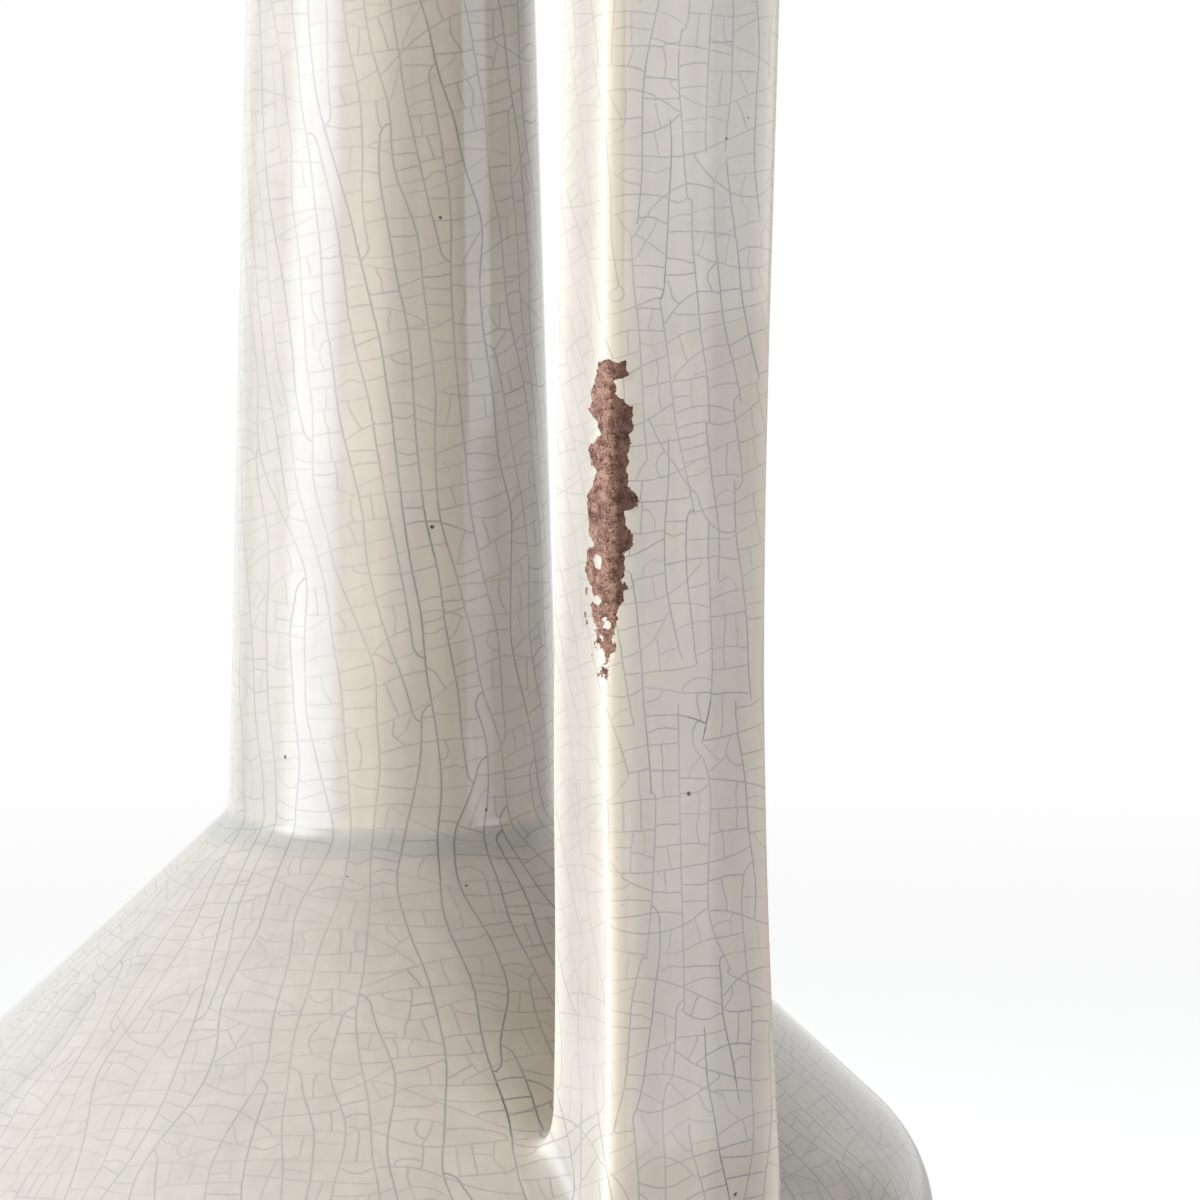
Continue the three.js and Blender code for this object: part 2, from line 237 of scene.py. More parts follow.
low_part, high_part = (0, SCREEN_MIDDLE), (SCREEN_MIDDLE, SCREEN_TOP)
hang_screen("window_screen", (-66, -46), (22, 15), low_part, (3.75, 4.4, 5.35))
hang_screen("window_top_screen", (-76, -70), (30, 28), high_part, (5.6, 5.9, 6.1))
hang_screen("side_top_screen", (-115, -95), (35, 30), high_part, (0.75, 0.65, 0.55))
hang_screen("warm_reflector_screen", (-27, -12), (10, 18), low_part, (1.75, 1.4, 0.85))
hang_screen("fill_screen", (36, 44), (14, 8), low_part, (0.8, 0.78, 0.74))
hang_screen("cool_fill_screen", (54.5, 65), (2, 14), (0, 0.16), (1.4, 1.55, 1.85))
hang_screen("cool_fill_top_screen", (59.8, 78), (2, 5), (0.16, SCREEN_MIDDLE), (1.95, 2.25, 2.8))
hang_screen("fill_top_screen", (38, 48), (20, 12), high_part, (4.2, 4.5, 4.65))


# Foot ring
# A coil of the brown stoneware thrown on under the body and turned true, with its edges sponged
# round. It is wiped free of glaze, so the bare fired clay shows on all sides.

TURN_STEPS = 256
FOOT_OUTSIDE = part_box("foot_ring")[1].x
FOOT_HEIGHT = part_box("foot_ring")[1].z
FOOT_WIDTH = 8 * MM
FOOT_EASE = 1.1 * MM
WOBBLE_SIZE = 34 * MM
FINE_WOBBLE_SIZE = 13 * MM
WOBBLE_MM = 0.035
FINE_WOBBLE_MM = 0.003
MERGE_GAP = 0.01 * MM
SMOOTH_BELOW = math.radians(38)


def arc(centre, radius, start, end, steps):
    """Points of an arc in the wall's side view, as (distance from the axis, height)."""
    turns = [start + (end - start) * i / steps for i in range(steps + 1)]
    return [(centre[0] + radius * math.cos(t), centre[1] + radius * math.sin(t)) for t in turns]


def run(start, end, step):
    """Points of a straight line in steps of about one size, without the line's last point."""
    count = max(1, round(math.dist(start, end) / step))
    return [tuple(a + (b - a) * i / count for a, b in zip(start, end)) for i in range(count)]


def wheel_wobble(x, y, z):
    """How far the thrown wall wanders from true, the same for pieces that meet."""
    slow = noise.noise(Vector((x, y, z)) / WOBBLE_SIZE)
    quick = noise.noise(Vector((x, y, 2.2 * z)) / FINE_WOBBLE_SIZE + Vector((7, 3, 1)))
    return (WOBBLE_MM * slow + FINE_WOBBLE_MM * quick) * MM


def throw(name, outline, steps=TURN_STEPS):
    """Turns a closed side view of the wall about the axis, as a wheel does. The side view starts
    as a circle whose points move onto the outline."""
    deselect_all()
    bpy.ops.mesh.primitive_circle_add(vertices=len(outline), radius=10 * MM)
    piece = bpy.context.object
    piece.name = name
    for vertex, (radius, height) in zip(piece.data.vertices, outline):
        vertex.co = (radius, 0, height)
    bpy.ops.object.modifier_add(type="SCREW")
    turning = piece.modifiers[-1]
    turning.steps = turning.render_steps = steps
    bpy.ops.object.modifier_apply(modifier=turning.name)
    bpy.ops.object.mode_set(mode="EDIT")
    bpy.ops.mesh.select_all(action="SELECT")
    bpy.ops.mesh.remove_doubles(threshold=MERGE_GAP)
    bpy.ops.mesh.normals_make_consistent(inside=False)
    bpy.ops.object.mode_set(mode="OBJECT")
    for vertex in piece.data.vertices:
        x, y, z = vertex.co
        across = math.hypot(x, y)
        if across > 1 * MM:
            grown = 1 + wheel_wobble(x, y, z) / across
            vertex.co = (x * grown, y * grown, z)
    return piece


foot_inside = FOOT_OUTSIDE - FOOT_WIDTH
foot_outline = (
    run((foot_inside + FOOT_EASE, 0), (FOOT_OUTSIDE - FOOT_EASE, 0), 1.2 * MM)
    + arc((FOOT_OUTSIDE - FOOT_EASE, FOOT_EASE), FOOT_EASE, -math.pi / 2, 0, 5)
    + run((FOOT_OUTSIDE, FOOT_EASE), (FOOT_OUTSIDE, FOOT_HEIGHT), 1 * MM)[1:]
    + [(FOOT_OUTSIDE, FOOT_HEIGHT), (foot_inside, FOOT_HEIGHT)]
    + run((foot_inside, FOOT_HEIGHT), (foot_inside, FOOT_EASE), 1 * MM)[1:]
    + arc((foot_inside + FOOT_EASE, FOOT_EASE), FOOT_EASE, math.pi, 1.5 * math.pi, 5)[:-1]
)
foot_ring = throw("turned_foot_ring", foot_outline)

STONEWARE_DARK = "#3E2822"
STONEWARE_BODY = "#6A4436"
STONEWARE_PALE = "#C49A84"
STONEWARE_ROUGHNESS = 0.82
CLAY_PATCHES = 1.3 * MM
CLAY_GRAIN = 0.32 * MM
CLAY_PITS = 0.6 * MM
CLAY_RELIEF = 0.08 * MM


def stoneware_colour(tree, place):
    """Colour and height of fired iron-rich stoneware: a warm brown body with dark iron specks, pale
    grit and a few open pits. Fired clay is dull, so it gives the eye grain and no shine."""
    patches = add_node(tree, "TexNoise", {"Vector": place, "Scale": 1 / CLAY_PATCHES, "Detail": 3.0})
    grain = add_node(tree, "TexNoise", {"Vector": place, "Scale": 1 / CLAY_GRAIN, "Detail": 2.0,
                                        "Roughness": 0.7})
    pits = add_node(tree, "TexVoronoi", {"Vector": place, "Scale": 1 / CLAY_PITS})
    dark = add_node(tree, "MapRange", {"Value": grain.outputs["Fac"], "From Min": 0.43, "From Max": 0.35})
    pale = add_node(tree, "MapRange", {"Value": grain.outputs["Fac"], "From Min": 0.56, "From Max": 0.7})
    warmed = add_node(tree, "MapRange", {"Value": patches.outputs["Fac"], "From Min": 0.35, "From Max": 0.68,
                                         "To Max": 0.75}).outputs[0]
    body = add_node(tree, "MixRGB", {0: warmed, 1: linear(STONEWARE_BODY), 2: linear(STONEWARE_PALE)})
    specked = add_node(tree, "MixRGB", {0: dark.outputs[0], 1: body.outputs[0], 2: linear(STONEWARE_DARK)})
    gritty = add_node(tree, "MixRGB", {0: pale.outputs[0], 1: specked.outputs[0], 2: linear(STONEWARE_PALE)})
    # Only some cells of the pattern hold a pit.
    kept = add_node(tree, "SeparateXYZ", {0: pits.outputs["Color"]}).outputs["X"]
    filled = add_node(tree, "MapRange", {"Value": kept, "From Min": 0.3, "From Max": 0.34}).outputs[0]
    open_pit = add_node(tree, "MapRange", {"Value": pits.outputs["Distance"], "From Min": 0.12,
                                           "From Max": 0.3}).outputs[0]
    pitted = add_node(tree, "Math", {0: open_pit, 1: filled}, operation="MAXIMUM")
    colour = add_node(tree, "MixRGB", {0: pitted.outputs[0], 1: linear(STONEWARE_DARK), 2: gritty.outputs[0]})
    rough = add_node(tree, "Math", {0: grain.outputs["Fac"], 1: pitted.outputs[0]}, operation="MULTIPLY")
    height = add_node(tree, "Math", {0: rough.outputs[0], 1: CLAY_RELIEF}, operation="MULTIPLY").outputs[0]
    return colour.outputs[0], height


bare_stoneware = bpy.data.materials.new("bare_fired_stoneware")
bare_stoneware.use_nodes = True
tree = bare_stoneware.node_tree
principled = tree.nodes["Principled BSDF"]
colour, height = stoneware_colour(tree, add_node(tree, "TexCoord").outputs["Object"])
relief = add_node(tree, "Bump", {"Height": height, "Distance": 1.0})
tree.links.new(colour, principled.inputs["Base Color"])
tree.links.new(relief.outputs[0], principled.inputs["Normal"])
principled.inputs["Roughness"].default_value = STONEWARE_ROUGHNESS
principled.inputs["IOR"].default_value = 1.5


def fire(piece, material, slot, *nodes):
    """Smooths a finished piece, gives it its surface and lets it stand for its CAD nodes."""
    deselect_all()
    bpy.context.view_layer.objects.active = piece
    piece.select_set(True)
    bpy.ops.object.shade_smooth_by_angle(angle=SMOOTH_BELOW)
    piece.data.materials.append(material)
    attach(piece, "root")
    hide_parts(*nodes)


fire(foot_ring, bare_stoneware, "bare_stoneware", "foot_ring")


# Thrown body, neck and rim
# The body is thrown as a bowl and closed to a straight cone, and the long neck is thrown by itself
# and luted on at the crease. All of it is one glazed skin after firing, in pieces at the seams.

BELLY_HEIGHT = 58 * MM
BELLY_RADIUS = 85.4 * MM
BELLY_EDGE = 23.6 * MM
BOWL_TURN = math.radians(-25)
CREASE_RADIUS = 26 * MM
CREASE_FILLET = 4.5 * MM
NECK_TOP_RADIUS = 21 * MM
NECK_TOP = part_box("neck")[1].z - 2 * MM
NECK_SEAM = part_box("neck")[0].z
WALL = 5 * MM
FLOOR_TOP = 12 * MM
FLOOR_FILLET = 9 * MM
RIM_ROLL = 3.4 * MM
RIM_RISE = 5.5 * MM
RIM_FLARE = 2 * MM
SKIN_STEP = 1.25 * MM
INSIDE_STEP = 4 * MM
BODY_TURN_STEPS = 384
NECK_TURN_STEPS = 160

edge_centre = Vector((BELLY_RADIUS - BELLY_EDGE, BELLY_HEIGHT))
crease_point = Vector((CREASE_RADIUS, CREASE_HEIGHT))
crease_away = crease_point - edge_centre
shoulder_turn = (math.atan2(crease_away.y, crease_away.x)
                 - math.acos(BELLY_EDGE / crease_away.length))
neck_turn = math.atan2(CREASE_RADIUS - NECK_TOP_RADIUS, NECK_TOP - CREASE_HEIGHT)
half_turn = (shoulder_turn + neck_turn) / 2
fillet_reach = CREASE_FILLET / math.cos((shoulder_turn - neck_turn) / 2)
fillet_centre = crease_point + fillet_reach * Vector((math.cos(half_turn), math.sin(half_turn)))

bowl_foot = Vector((FOOT_OUTSIDE + 3 * MM, FOOT_HEIGHT))
bowl_away = bowl_foot - edge_centre
bowl_line = -Vector((math.cos(BOWL_TURN), math.sin(BOWL_TURN)))
bowl_extra = (bowl_away.length_squared - BELLY_EDGE ** 2) / (2 * (BELLY_EDGE + bowl_away.dot(bowl_line)))
bowl_centre = edge_centre + bowl_line * bowl_extra
bowl_radius = BELLY_EDGE + bowl_extra
bowl_start = math.atan2(bowl_foot.y - bowl_centre.y, bowl_foot.x - bowl_centre.x)


def wall_line(inset, step):
    """The side view from the bowl's foot to the rim, moved into the wall by inset."""
    parts = [
        (bowl_centre, bowl_radius - inset, bowl_start, BOWL_TURN),
        (edge_centre, BELLY_EDGE - inset, BOWL_TURN, shoulder_turn),
        (fillet_centre, -(CREASE_FILLET + inset), shoulder_turn, neck_turn),
    ]
    points = []
    for centre, radius, start, end in parts:
        steps = max(4, math.ceil(abs(radius * (end - start)) / step))
        stretch = arc(centre, radius, start, end, steps)
        if points:
            points += run(points[-1], stretch[0], step)[1:]
        points += stretch
    end_radius = NECK_TOP_RADIUS - inset * math.cos(neck_turn) - math.tan(neck_turn) * RIM_RISE
    end = (end_radius, NECK_TOP + RIM_RISE)
    return points + run(points[-1], end, step)[1:] + [end]


def radius_at(line, height):
    for low, high in zip(line, line[1:]):
        if high[1] > height:
            return low[0] + (high[0] - low[0]) * (height - low[1]) / (high[1] - low[1])
    return line[-1][0]


def stretch_between(line, low, high):
    margin = 0.15 * MM
    inside = [point for point in line if low + margin < point[1] < high - margin]
    return [(radius_at(line, low), low)] + inside + [(radius_at(line, high), high)]


def curve(start, middle, end, steps):
    """Points of a curve that leaves start towards middle and comes to end, without its two ends."""
    points = []
    for t in [i / steps for i in range(1, steps)]:
        sides = zip(start, middle, end)
        points.append(tuple((1 - t) ** 2 * p + 2 * t * (1 - t) * q + t * t * r for p, q, r in sides))
    return points


outer = wall_line(0, SKIN_STEP)
inner = wall_line(WALL, INSIDE_STEP)

floor_edge = radius_at(inner, FLOOR_TOP + FLOOR_FILLET / 2)
floor_corner = (floor_edge - FLOOR_FILLET * 0.2, FLOOR_TOP)
bowl_inside = stretch_between(inner, FLOOR_TOP + FLOOR_FILLET / 2, BELLY_HEIGHT)
floor_fillet = curve(bowl_inside[0], floor_corner, (floor_edge - FLOOR_FILLET, FLOOR_TOP), 6)
lower_outline = (
    run((0, FOOT_HEIGHT), outer[0], 6 * MM)
    + stretch_between(outer, FOOT_HEIGHT, BELLY_HEIGHT)
    + bowl_inside[::-1]
    + floor_fillet
    + run((floor_edge - FLOOR_FILLET, FLOOR_TOP), (0, FLOOR_TOP), 6 * MM)
    + [(0, FLOOR_TOP)]
)
lower_body = throw("glazed_bowl_of_the_body", lower_outline, BODY_TURN_STEPS)
shoulder = throw(
    "glazed_shoulder",
    stretch_between(outer, BELLY_HEIGHT, NECK_SEAM) + stretch_between(inner, BELLY_HEIGHT, NECK_SEAM)[::-1],
    BODY_TURN_STEPS,
)
neck = throw(
    "glazed_neck",
    stretch_between(outer, NECK_SEAM, NECK_TOP) + stretch_between(inner, NECK_SEAM, NECK_TOP)[::-1],
    NECK_TURN_STEPS,
)
rim_centre = (NECK_TOP_RADIUS - WALL / 2 + RIM_FLARE, NECK_TOP + RIM_RISE)
roll = arc(rim_centre, RIM_ROLL, math.radians(-50), math.radians(200), 22)
inner_top = radius_at(inner, NECK_TOP)
lip_bend = (NECK_TOP_RADIUS + 0.2 * MM, NECK_TOP + 1.6 * MM)
lip_blend = curve((NECK_TOP_RADIUS, NECK_TOP), lip_bend, roll[0], 5)
mouth_rim = throw(
    "glazed_rolled_rim",
    [(NECK_TOP_RADIUS, NECK_TOP)] + lip_blend + roll + run(roll[-1], (inner_top, NECK_TOP), 1 * MM)[1:]
    + [(inner_top, NECK_TOP)],
    NECK_TURN_STEPS,
)

crackle_glaze = bpy.data.materials.new("stained_crackle_glaze")
crackle_glaze.use_nodes = True
# Near the lip the glaze is painted paler and creamier: partly thinner glaze on the rolled edge, partly a
# painted highlight.
LIP_THIN_AND_HIGHLIGHT_REACH = 2.2 * MM
LIP_THIN_AND_HIGHLIGHT_MOST = 0.8
LIP_TURN = math.radians(60)
POT_OUTSIDE_FROM = 15 * MM
lip = (rim_centre[0] + RIM_ROLL * math.cos(LIP_TURN), rim_centre[1] + RIM_ROLL * math.sin(LIP_TURN))
thrown = {"lower_body": lower_body, "shoulder": shoulder, "neck": neck, "mouth_rim": mouth_rim}
for node, piece in thrown.items():
    fire(piece, crackle_glaze, "crackle_glaze", node)
    spots = piece.data.vertices
    on_pot = piece.data.attributes.new("on_pot", "FLOAT", "POINT")
    outside = [float(spot.co.to_2d().length > POT_OUTSIDE_FROM) for spot in spots]
    on_pot.data.foreach_set("value", outside)
    from_lip = [math.dist((spot.co.to_2d().length, spot.co.z), lip) for spot in spots]
    thin_and_highlight = piece.data.attributes.new("thin_glaze_and_highlight", "FLOAT", "POINT")
    thinness_and_highlight = [LIP_THIN_AND_HIGHLIGHT_MOST * math.exp(-(gap / LIP_THIN_AND_HIGHLIGHT_REACH) ** 2) for gap in from_lip]
    thin_and_highlight.data.foreach_set("value", thinness_and_highlight)


# Strap handle
# A flat strap of clay cut square, stood on the belly's edge and bent over into the neck. Its ends
# are luted with soft clay that is wiped out over the pot, all one skin under the glaze.

STRAP_TOE_RISE = 19 * MM
STRAP_TOE_RADIUS = 9 * MM
STRAP_WAIST_HEIGHT = 158 * MM
STRAP_WAIST_DRAW = 2.6 * MM
STRAP_TOP_RETURN = 1.9 * MM
STRAP_ARM_DROP = 17 * MM
STRAP_BEND_INSIDE = 11 * MM
STRAP_WIDTH = 27.7 * MM
STRAP_FOOT_FLARE = 2.9 * MM
STRAP_FLARE_LENGTH = 50 * MM
STRAP_TOP_SPREAD = 1.4 * MM
STRAP_FOOT_THICKNESS = 16.5 * MM
STRAP_TOP_THICKNESS = 12.3 * MM
STRAP_ROUNDINGS = (2.7 * MM, 1.3 * MM, 1.6 * MM, 1.2 * MM)
STRAP_FAR_WIDER = 0.8 * MM
STRAP_FAR_TOP_WIDER = 0.7 * MM
STRAP_FACET = 0.6
STRAP_FACET_TURN = math.radians(4)
STRAP_FACET_SOFT = 2.5 * MM
STRAP_FACET_MATCH = 1.12
ROOT_CROTCH = 8 * MM
ROOT_OUTSIDE = 3.6 * MM
ROOT_SPREAD = 6 * MM
ROOT_SINK = 0.5 * MM

toe_height = BELLY_HEIGHT + STRAP_TOE_RISE
strap_base = toe_height - STRAP_TOE_RADIUS + 0.5 * MM
bend_radius = STRAP_BEND_INSIDE + STRAP_TOP_THICKNESS / 2
bend_height = NECK_TOP - STRAP_ARM_DROP - bend_radius
bend_length = bend_radius * math.pi / 2
upright_length = bend_height - strap_base


def smoothstep(value, low, high):
    t = min(max((value - low) / (high - low), 0), 1)
    return t * t * (3 - 2 * t)


def strap_reach(height):
    drawn = STRAP_WAIST_DRAW * smoothstep(height, toe_height, STRAP_WAIST_HEIGHT)
    returned = max(0, (height - STRAP_WAIST_HEIGHT) / (bend_height - STRAP_WAIST_HEIGHT)) ** 2
    return BELLY_RADIUS - drawn + STRAP_TOP_RETURN * returned


bend_x = strap_reach(bend_height) - STRAP_TOP_THICKNESS / 2 - bend_radius
arm_length = bend_x - NECK_TOP_RADIUS / 2
strap_length = upright_length + bend_length + arm_length


CORNER_STEPS = 6
FLAT_STEPS = (24, 8, 20, 9)
CROWDED = 1.35
corner_places = [(side, "corner", k / CORNER_STEPS) for side in range(4) for k in range(CORNER_STEPS)]
flat_places = [(side, "flat", k / steps) for side, steps in enumerate(FLAT_STEPS) for k in range(steps)]
# On the two faces beside the ridge, the places lie closer together near it.
flat_places = [(side, kind, t ** CROWDED if side == 0 else 1 - (1 - t) ** CROWDED if side == 3 else t)
               for side, kind, t in flat_places]
PLACES = sorted(corner_places + flat_places, key=lambda place: (place[0], place[1] == "flat", place[2]))


def strap_frame(along):
    """The strap's two sides, two faces, middle and outward direction at a distance along it."""
    height = min(strap_base + along, bend_height)
    flare = min(max(0, 1 - (height - toe_height) / STRAP_FLARE_LENGTH) ** 2, 1)
    spread = smoothstep(height, STRAP_WAIST_HEIGHT, bend_height)
    half = (STRAP_WIDTH + STRAP_FOOT_FLARE * flare + STRAP_TOP_SPREAD * spread) / 2
    slimmed = smoothstep(height, toe_height, bend_height)
    thickness = STRAP_FOOT_THICKNESS + (STRAP_TOP_THICKNESS - STRAP_FOOT_THICKNESS) * slimmed
    drop = min(max(0, toe_height - height), STRAP_TOE_RADIUS)
    trim = STRAP_TOE_RADIUS - math.sqrt(STRAP_TOE_RADIUS ** 2 - drop ** 2)
    turned = min(max(0, along - upright_length) / bend_radius, math.pi / 2)
    middle = Vector((strap_reach(height) - thickness / 2, 0, height))
    if turned > 0:
        arm = max(0, along - upright_length - bend_length)
        middle = Vector((bend_x + bend_radius * math.cos(turned) - arm, 0,
                         bend_height + bend_radius * math.sin(turned)))
    sides = (-half, half + STRAP_FAR_WIDER + STRAP_FAR_TOP_WIDER * spread)
    out = Vector((math.cos(turned), 0, math.sin(turned)))
    return sides, thickness / 2 - trim, -thickness / 2, middle, out


def strap_point(place, along):
    """One point of the strap's outline: four soft corners, and a faint facet on the broad face."""
    side, kind, t = place
    (near, far), front, back, middle, out = strap_frame(along)
    facet_y = near + STRAP_FACET * (far - near)
    turned_back = front - (far - facet_y) * math.tan(STRAP_FACET_TURN)
    corners = [Vector((front, near)), Vector((turned_back, far)), Vector((back, far)), Vector((back, near))]
    facet = Vector((front, facet_y))
    corner, follow = corners[side], corners[(side + 1) % 4]
    rounding, next_rounding = STRAP_ROUNDINGS[side], STRAP_ROUNDINGS[(side + 1) % 4]
    after = facet if side == 0 else follow
    leave = corner + (after - corner).normalized() * rounding
    if kind == "corner":
        before = facet if side == 1 else corners[side - 1]
        enter = corner + (before - corner).normalized() * rounding
        point = enter * (1 - t) ** 2 + corner * 2 * t * (1 - t) + leave * t * t
    elif side == 0:
        y = near + rounding + t * (far - near - rounding - next_rounding)
        past = max(0, y - facet_y)
        turned_in = past * past / (past + STRAP_FACET_SOFT) * math.tan(STRAP_FACET_TURN) * STRAP_FACET_MATCH
        point = Vector((front - turned_in, y))
    else:
        point = leave.lerp(follow + (corner - follow).normalized() * next_rounding, t)
    return middle + out * point.x + Vector((0, point.y, 0))


def strap_skin(k, along):
    """A point of the strap's skin, and the direction that the skin faces there."""
    here, after, before = PLACES[k], PLACES[(k + 1) % len(PLACES)], PLACES[k - 1]
    around = strap_point(after, along) - strap_point(before, along)
    point = strap_point(here, along)
    return point, around.cross(strap_point(here, along + 0.3 * MM) - point).normalized()


def pot_skin(point, lift=0.0):
    """The pot's skin straight across from a point, and its direction there."""
    probe = 0.3 * MM
    slope = radius_at(outer, point.z + probe) - radius_at(outer, point.z - probe)
    side = Vector((2 * probe, -slope)).normalized()
    level = Vector((point.x, point.y, 0)).normalized()
    normal = Vector((level.x * side.x, level.y * side.x, side.y))
    return Vector((0, 0, point.z)) + level * radius_at(outer, point.z) + normal * lift, normal


def leaves_pot(k, inside, outside):
    """How far along the strap one line of its skin comes out of the pot."""
    for _ in range(20):
        middle = (inside + outside) / 2
        point = strap_point(PLACES[k], middle)
        within = math.hypot(point.x, point.y) < radius_at(outer, point.z)
        inside, outside = (middle, outside) if within else (inside, middle)
    return outside


# The worn place's outline, read to half a millimetre: a height, and how far the wear reaches
# there over the narrow side face and over the broad face.
CHIP_EDGES = [
    (154.5, -0.5, -1), (155, 2, 0), (156, 2.5, 0), (156.5, 0, -0.5), (159, 1, 1), (159.5, 3, 1),
    (162, 2.5, 1), (165, 4, 1.5), (166, 3, 2.5), (169, 4.5, 2), (169.5, 5.5, 2.5), (173, 5, 2.5),
    (174, 3, 4), (175.5, 4.5, 4), (177, 4.5, 2.5), (179, 4.5, 2.5), (179.5, 5, 4.5), (180.5, 5, 5),
    (182, 4, 4), (182.5, 3.5, 3), (185, 2.5, 3), (185.5, 4, 3), (188, 4.5, 3.5), (190, 1.5, 3.5),
    (191.5, 2, 4), (193.5, 4.5, 4), (195, 3.5, 2.5), (196, 4, 1), (198, 2.5, 1), (198.5, 2.5, 3.5),
    (200.5, 2, 2.5), (201, -0.5, -1),
]
CHIP_DEPTH = 0.3 * MM
CHIP_ROW = 0.5 * MM
CHIP_REACH = 8 * MM
CHIP_LIP = (-0.1 * MM, 0.45 * MM)
# Along the strap's corners the glaze is painted paler and creamier: partly thinner glaze, partly a painted
# highlight on the edges.
THIN_AND_HIGHLIGHT_REACH = 2.8 * MM
THIN_AND_HIGHLIGHT_MOST = 0.85
chip_heights, chip_over_side, chip_over_front = np.array(CHIP_EDGES).T * MM


def chip_recess(from_ridge, height):
    """How deep the skin lies below the glaze where the glaze is knocked off the ridge."""
    inside = min(np.interp(height, chip_heights, chip_over_front) - from_ridge,
                 np.interp(height, chip_heights, chip_over_side) + from_ridge)
    return CHIP_DEPTH * smoothstep(inside, *CHIP_LIP)


ROOT_ROWS = 12
GATHER_ROWS = 24
ROW_STEP = 1.5 * MM
count = len(PLACES)
gather_low = 42 * MM
gather_high = upright_length + bend_length * 0.75
chip_low, chip_high = (height - strap_base for height in (chip_heights[0], chip_heights[-1]))
straight_stops = (
    list(np.arange(gather_low, chip_low, ROW_STEP))
    + list(np.arange(chip_low, chip_high, CHIP_ROW))
    + list(np.linspace(chip_high, gather_high, round((gather_high - chip_high) / ROW_STEP)))
)


def root_rows(k, start_inside, start_outside, way):
    """The skin from under the pot's surface, out through the hollow of luting clay, to the strap."""
    start = leaves_pot(k, start_inside, start_outside)
    corner, strap_out = strap_skin(k, start)
    _, front, back, middle, out = strap_frame(start)
    share = min(max(((corner - middle).dot(out) - back) / (front - back), 0), 1)
    height = ROOT_CROTCH + (ROOT_OUTSIDE - ROOT_CROTCH) * share
    top = strap_point(PLACES[k], start + way * height)
    _, pot_out = pot_skin(corner)
    spread = (strap_out - pot_out * strap_out.dot(pot_out)).normalized() * min(ROOT_SPREAD, height * 1.2)
    foot, foot_out = pot_skin(corner + spread)
    under, _ = pot_skin(corner + spread * 1.12, -ROOT_SINK)
    shares = [i / ROOT_ROWS for i in range(ROOT_ROWS + 1)]
    rows = [foot * (1 - t) ** 2 + corner * 2 * t * (1 - t) + top * t * t for t in shares]
    return [under] + rows, start + way * height


columns = []
for k, place in enumerate(PLACES):
    low_rows, low_along = root_rows(k, 0.0, STRAP_FLARE_LENGTH, 1)
    high_rows, high_along = root_rows(k, strap_length, strap_length - arm_length, -1)
    stops = [low_along + (gather_low - low_along) * i / GATHER_ROWS for i in range(1, GATHER_ROWS)]
    stops += straight_stops
    stops += [gather_high + (high_along - gather_high) * i / GATHER_ROWS for i in range(1, GATHER_ROWS)]
    columns.append(low_rows + [strap_point(place, stop) for stop in stops] + high_rows[::-1])

ridge = PLACES.index((0, "corner", 0.5))
other_corners = [PLACES.index((side, "corner", 0.5)) for side in (1, 2, 3)]
rows_in_all = len(columns[0])
ridge_distances, thin_and_highlight_shares = {}, {}
for row in range(rows_in_all):
    ring = [columns[k][row] for k in range(count)]
    steps = [(ring[(k + 1) % count] - ring[k]).length for k in range(count)]
    onward = {(ridge + i) % count: sum(steps[(ridge + j) % count] for j in range(i)) for i in range(count)}
    around = sum(steps)
    for k in range(count):
        gaps = [min(abs(onward[k] - onward[c]), around - abs(onward[k] - onward[c]))
                for c in [ridge] + other_corners]
        ridge_distances[k, row] = onward[k] if onward[k] < around / 2 else onward[k] - around
        # The glaze is as thick as the pot's own where the luting clay runs out over the pot, so the paler
        # edge colour, partly a painted highlight, fades out there.
        risen = smoothstep(min(row, rows_in_all - 1 - row), 0, ROOT_ROWS)
        thin_and_highlight_shares[k, row] = risen * max(math.exp(-(gap / THIN_AND_HIGHLIGHT_REACH) ** 2) for gap in gaps)
for k in range(count):
    for row in range(rows_in_all):
        height, from_ridge = columns[k][row].z, ridge_distances[k, row]
        if chip_heights[0] < height < chip_heights[-1] and abs(from_ridge) < CHIP_REACH:
            along = height - strap_base
            skin_here, out_here = strap_skin(k, along)
            columns[k][row] = skin_here - out_here * chip_recess(from_ridge, height)

deselect_all()
bpy.ops.mesh.primitive_grid_add(x_subdivisions=count, y_subdivisions=rows_in_all - 1, size=1)
handle = bpy.context.object
handle.name = "glazed_strap_handle"
from_ridge = handle.data.attributes.new("from_ridge", "FLOAT", "POINT")
near_ridge = handle.data.attributes.new("near_ridge", "FLOAT", "POINT")
thin_and_highlight = handle.data.attributes.new("thin_glaze_and_highlight", "FLOAT", "POINT")
for vertex in handle.data.vertices:
    k = round((vertex.co.x + 0.5) * count) % count
    row = round((vertex.co.y + 0.5) * (rows_in_all - 1))
    vertex.co = columns[k][row]
    from_ridge.data[vertex.index].value = ridge_distances[k, row]
    near_ridge.data[vertex.index].value = 1.0 if abs(ridge_distances[k, row]) < CHIP_REACH else 0.0
    thin_and_highlight.data[vertex.index].value = THIN_AND_HIGHLIGHT_MOST * thin_and_highlight_shares[k, row]
bpy.ops.object.mode_set(mode="EDIT")
bpy.ops.mesh.select_all(action="SELECT")
bpy.ops.mesh.remove_doubles(threshold=MERGE_GAP)
bpy.ops.mesh.normals_make_consistent(inside=False)
bpy.ops.mesh.select_all(action="DESELECT")
bpy.ops.mesh.select_non_manifold()
bpy.ops.mesh.fill_holes(sides=0)
bpy.ops.object.mode_set(mode="OBJECT")
fire(handle, crackle_glaze, "crackle_glaze", "strap_handle", "lower_handle_root", "upper_handle_root")


# Crackle
# As the pot cools, the glaze shrinks more than the clay and crazes. Long cracks run up and down, others
# step across them, and short ones then split the cells. The lines are stained blue-grey.

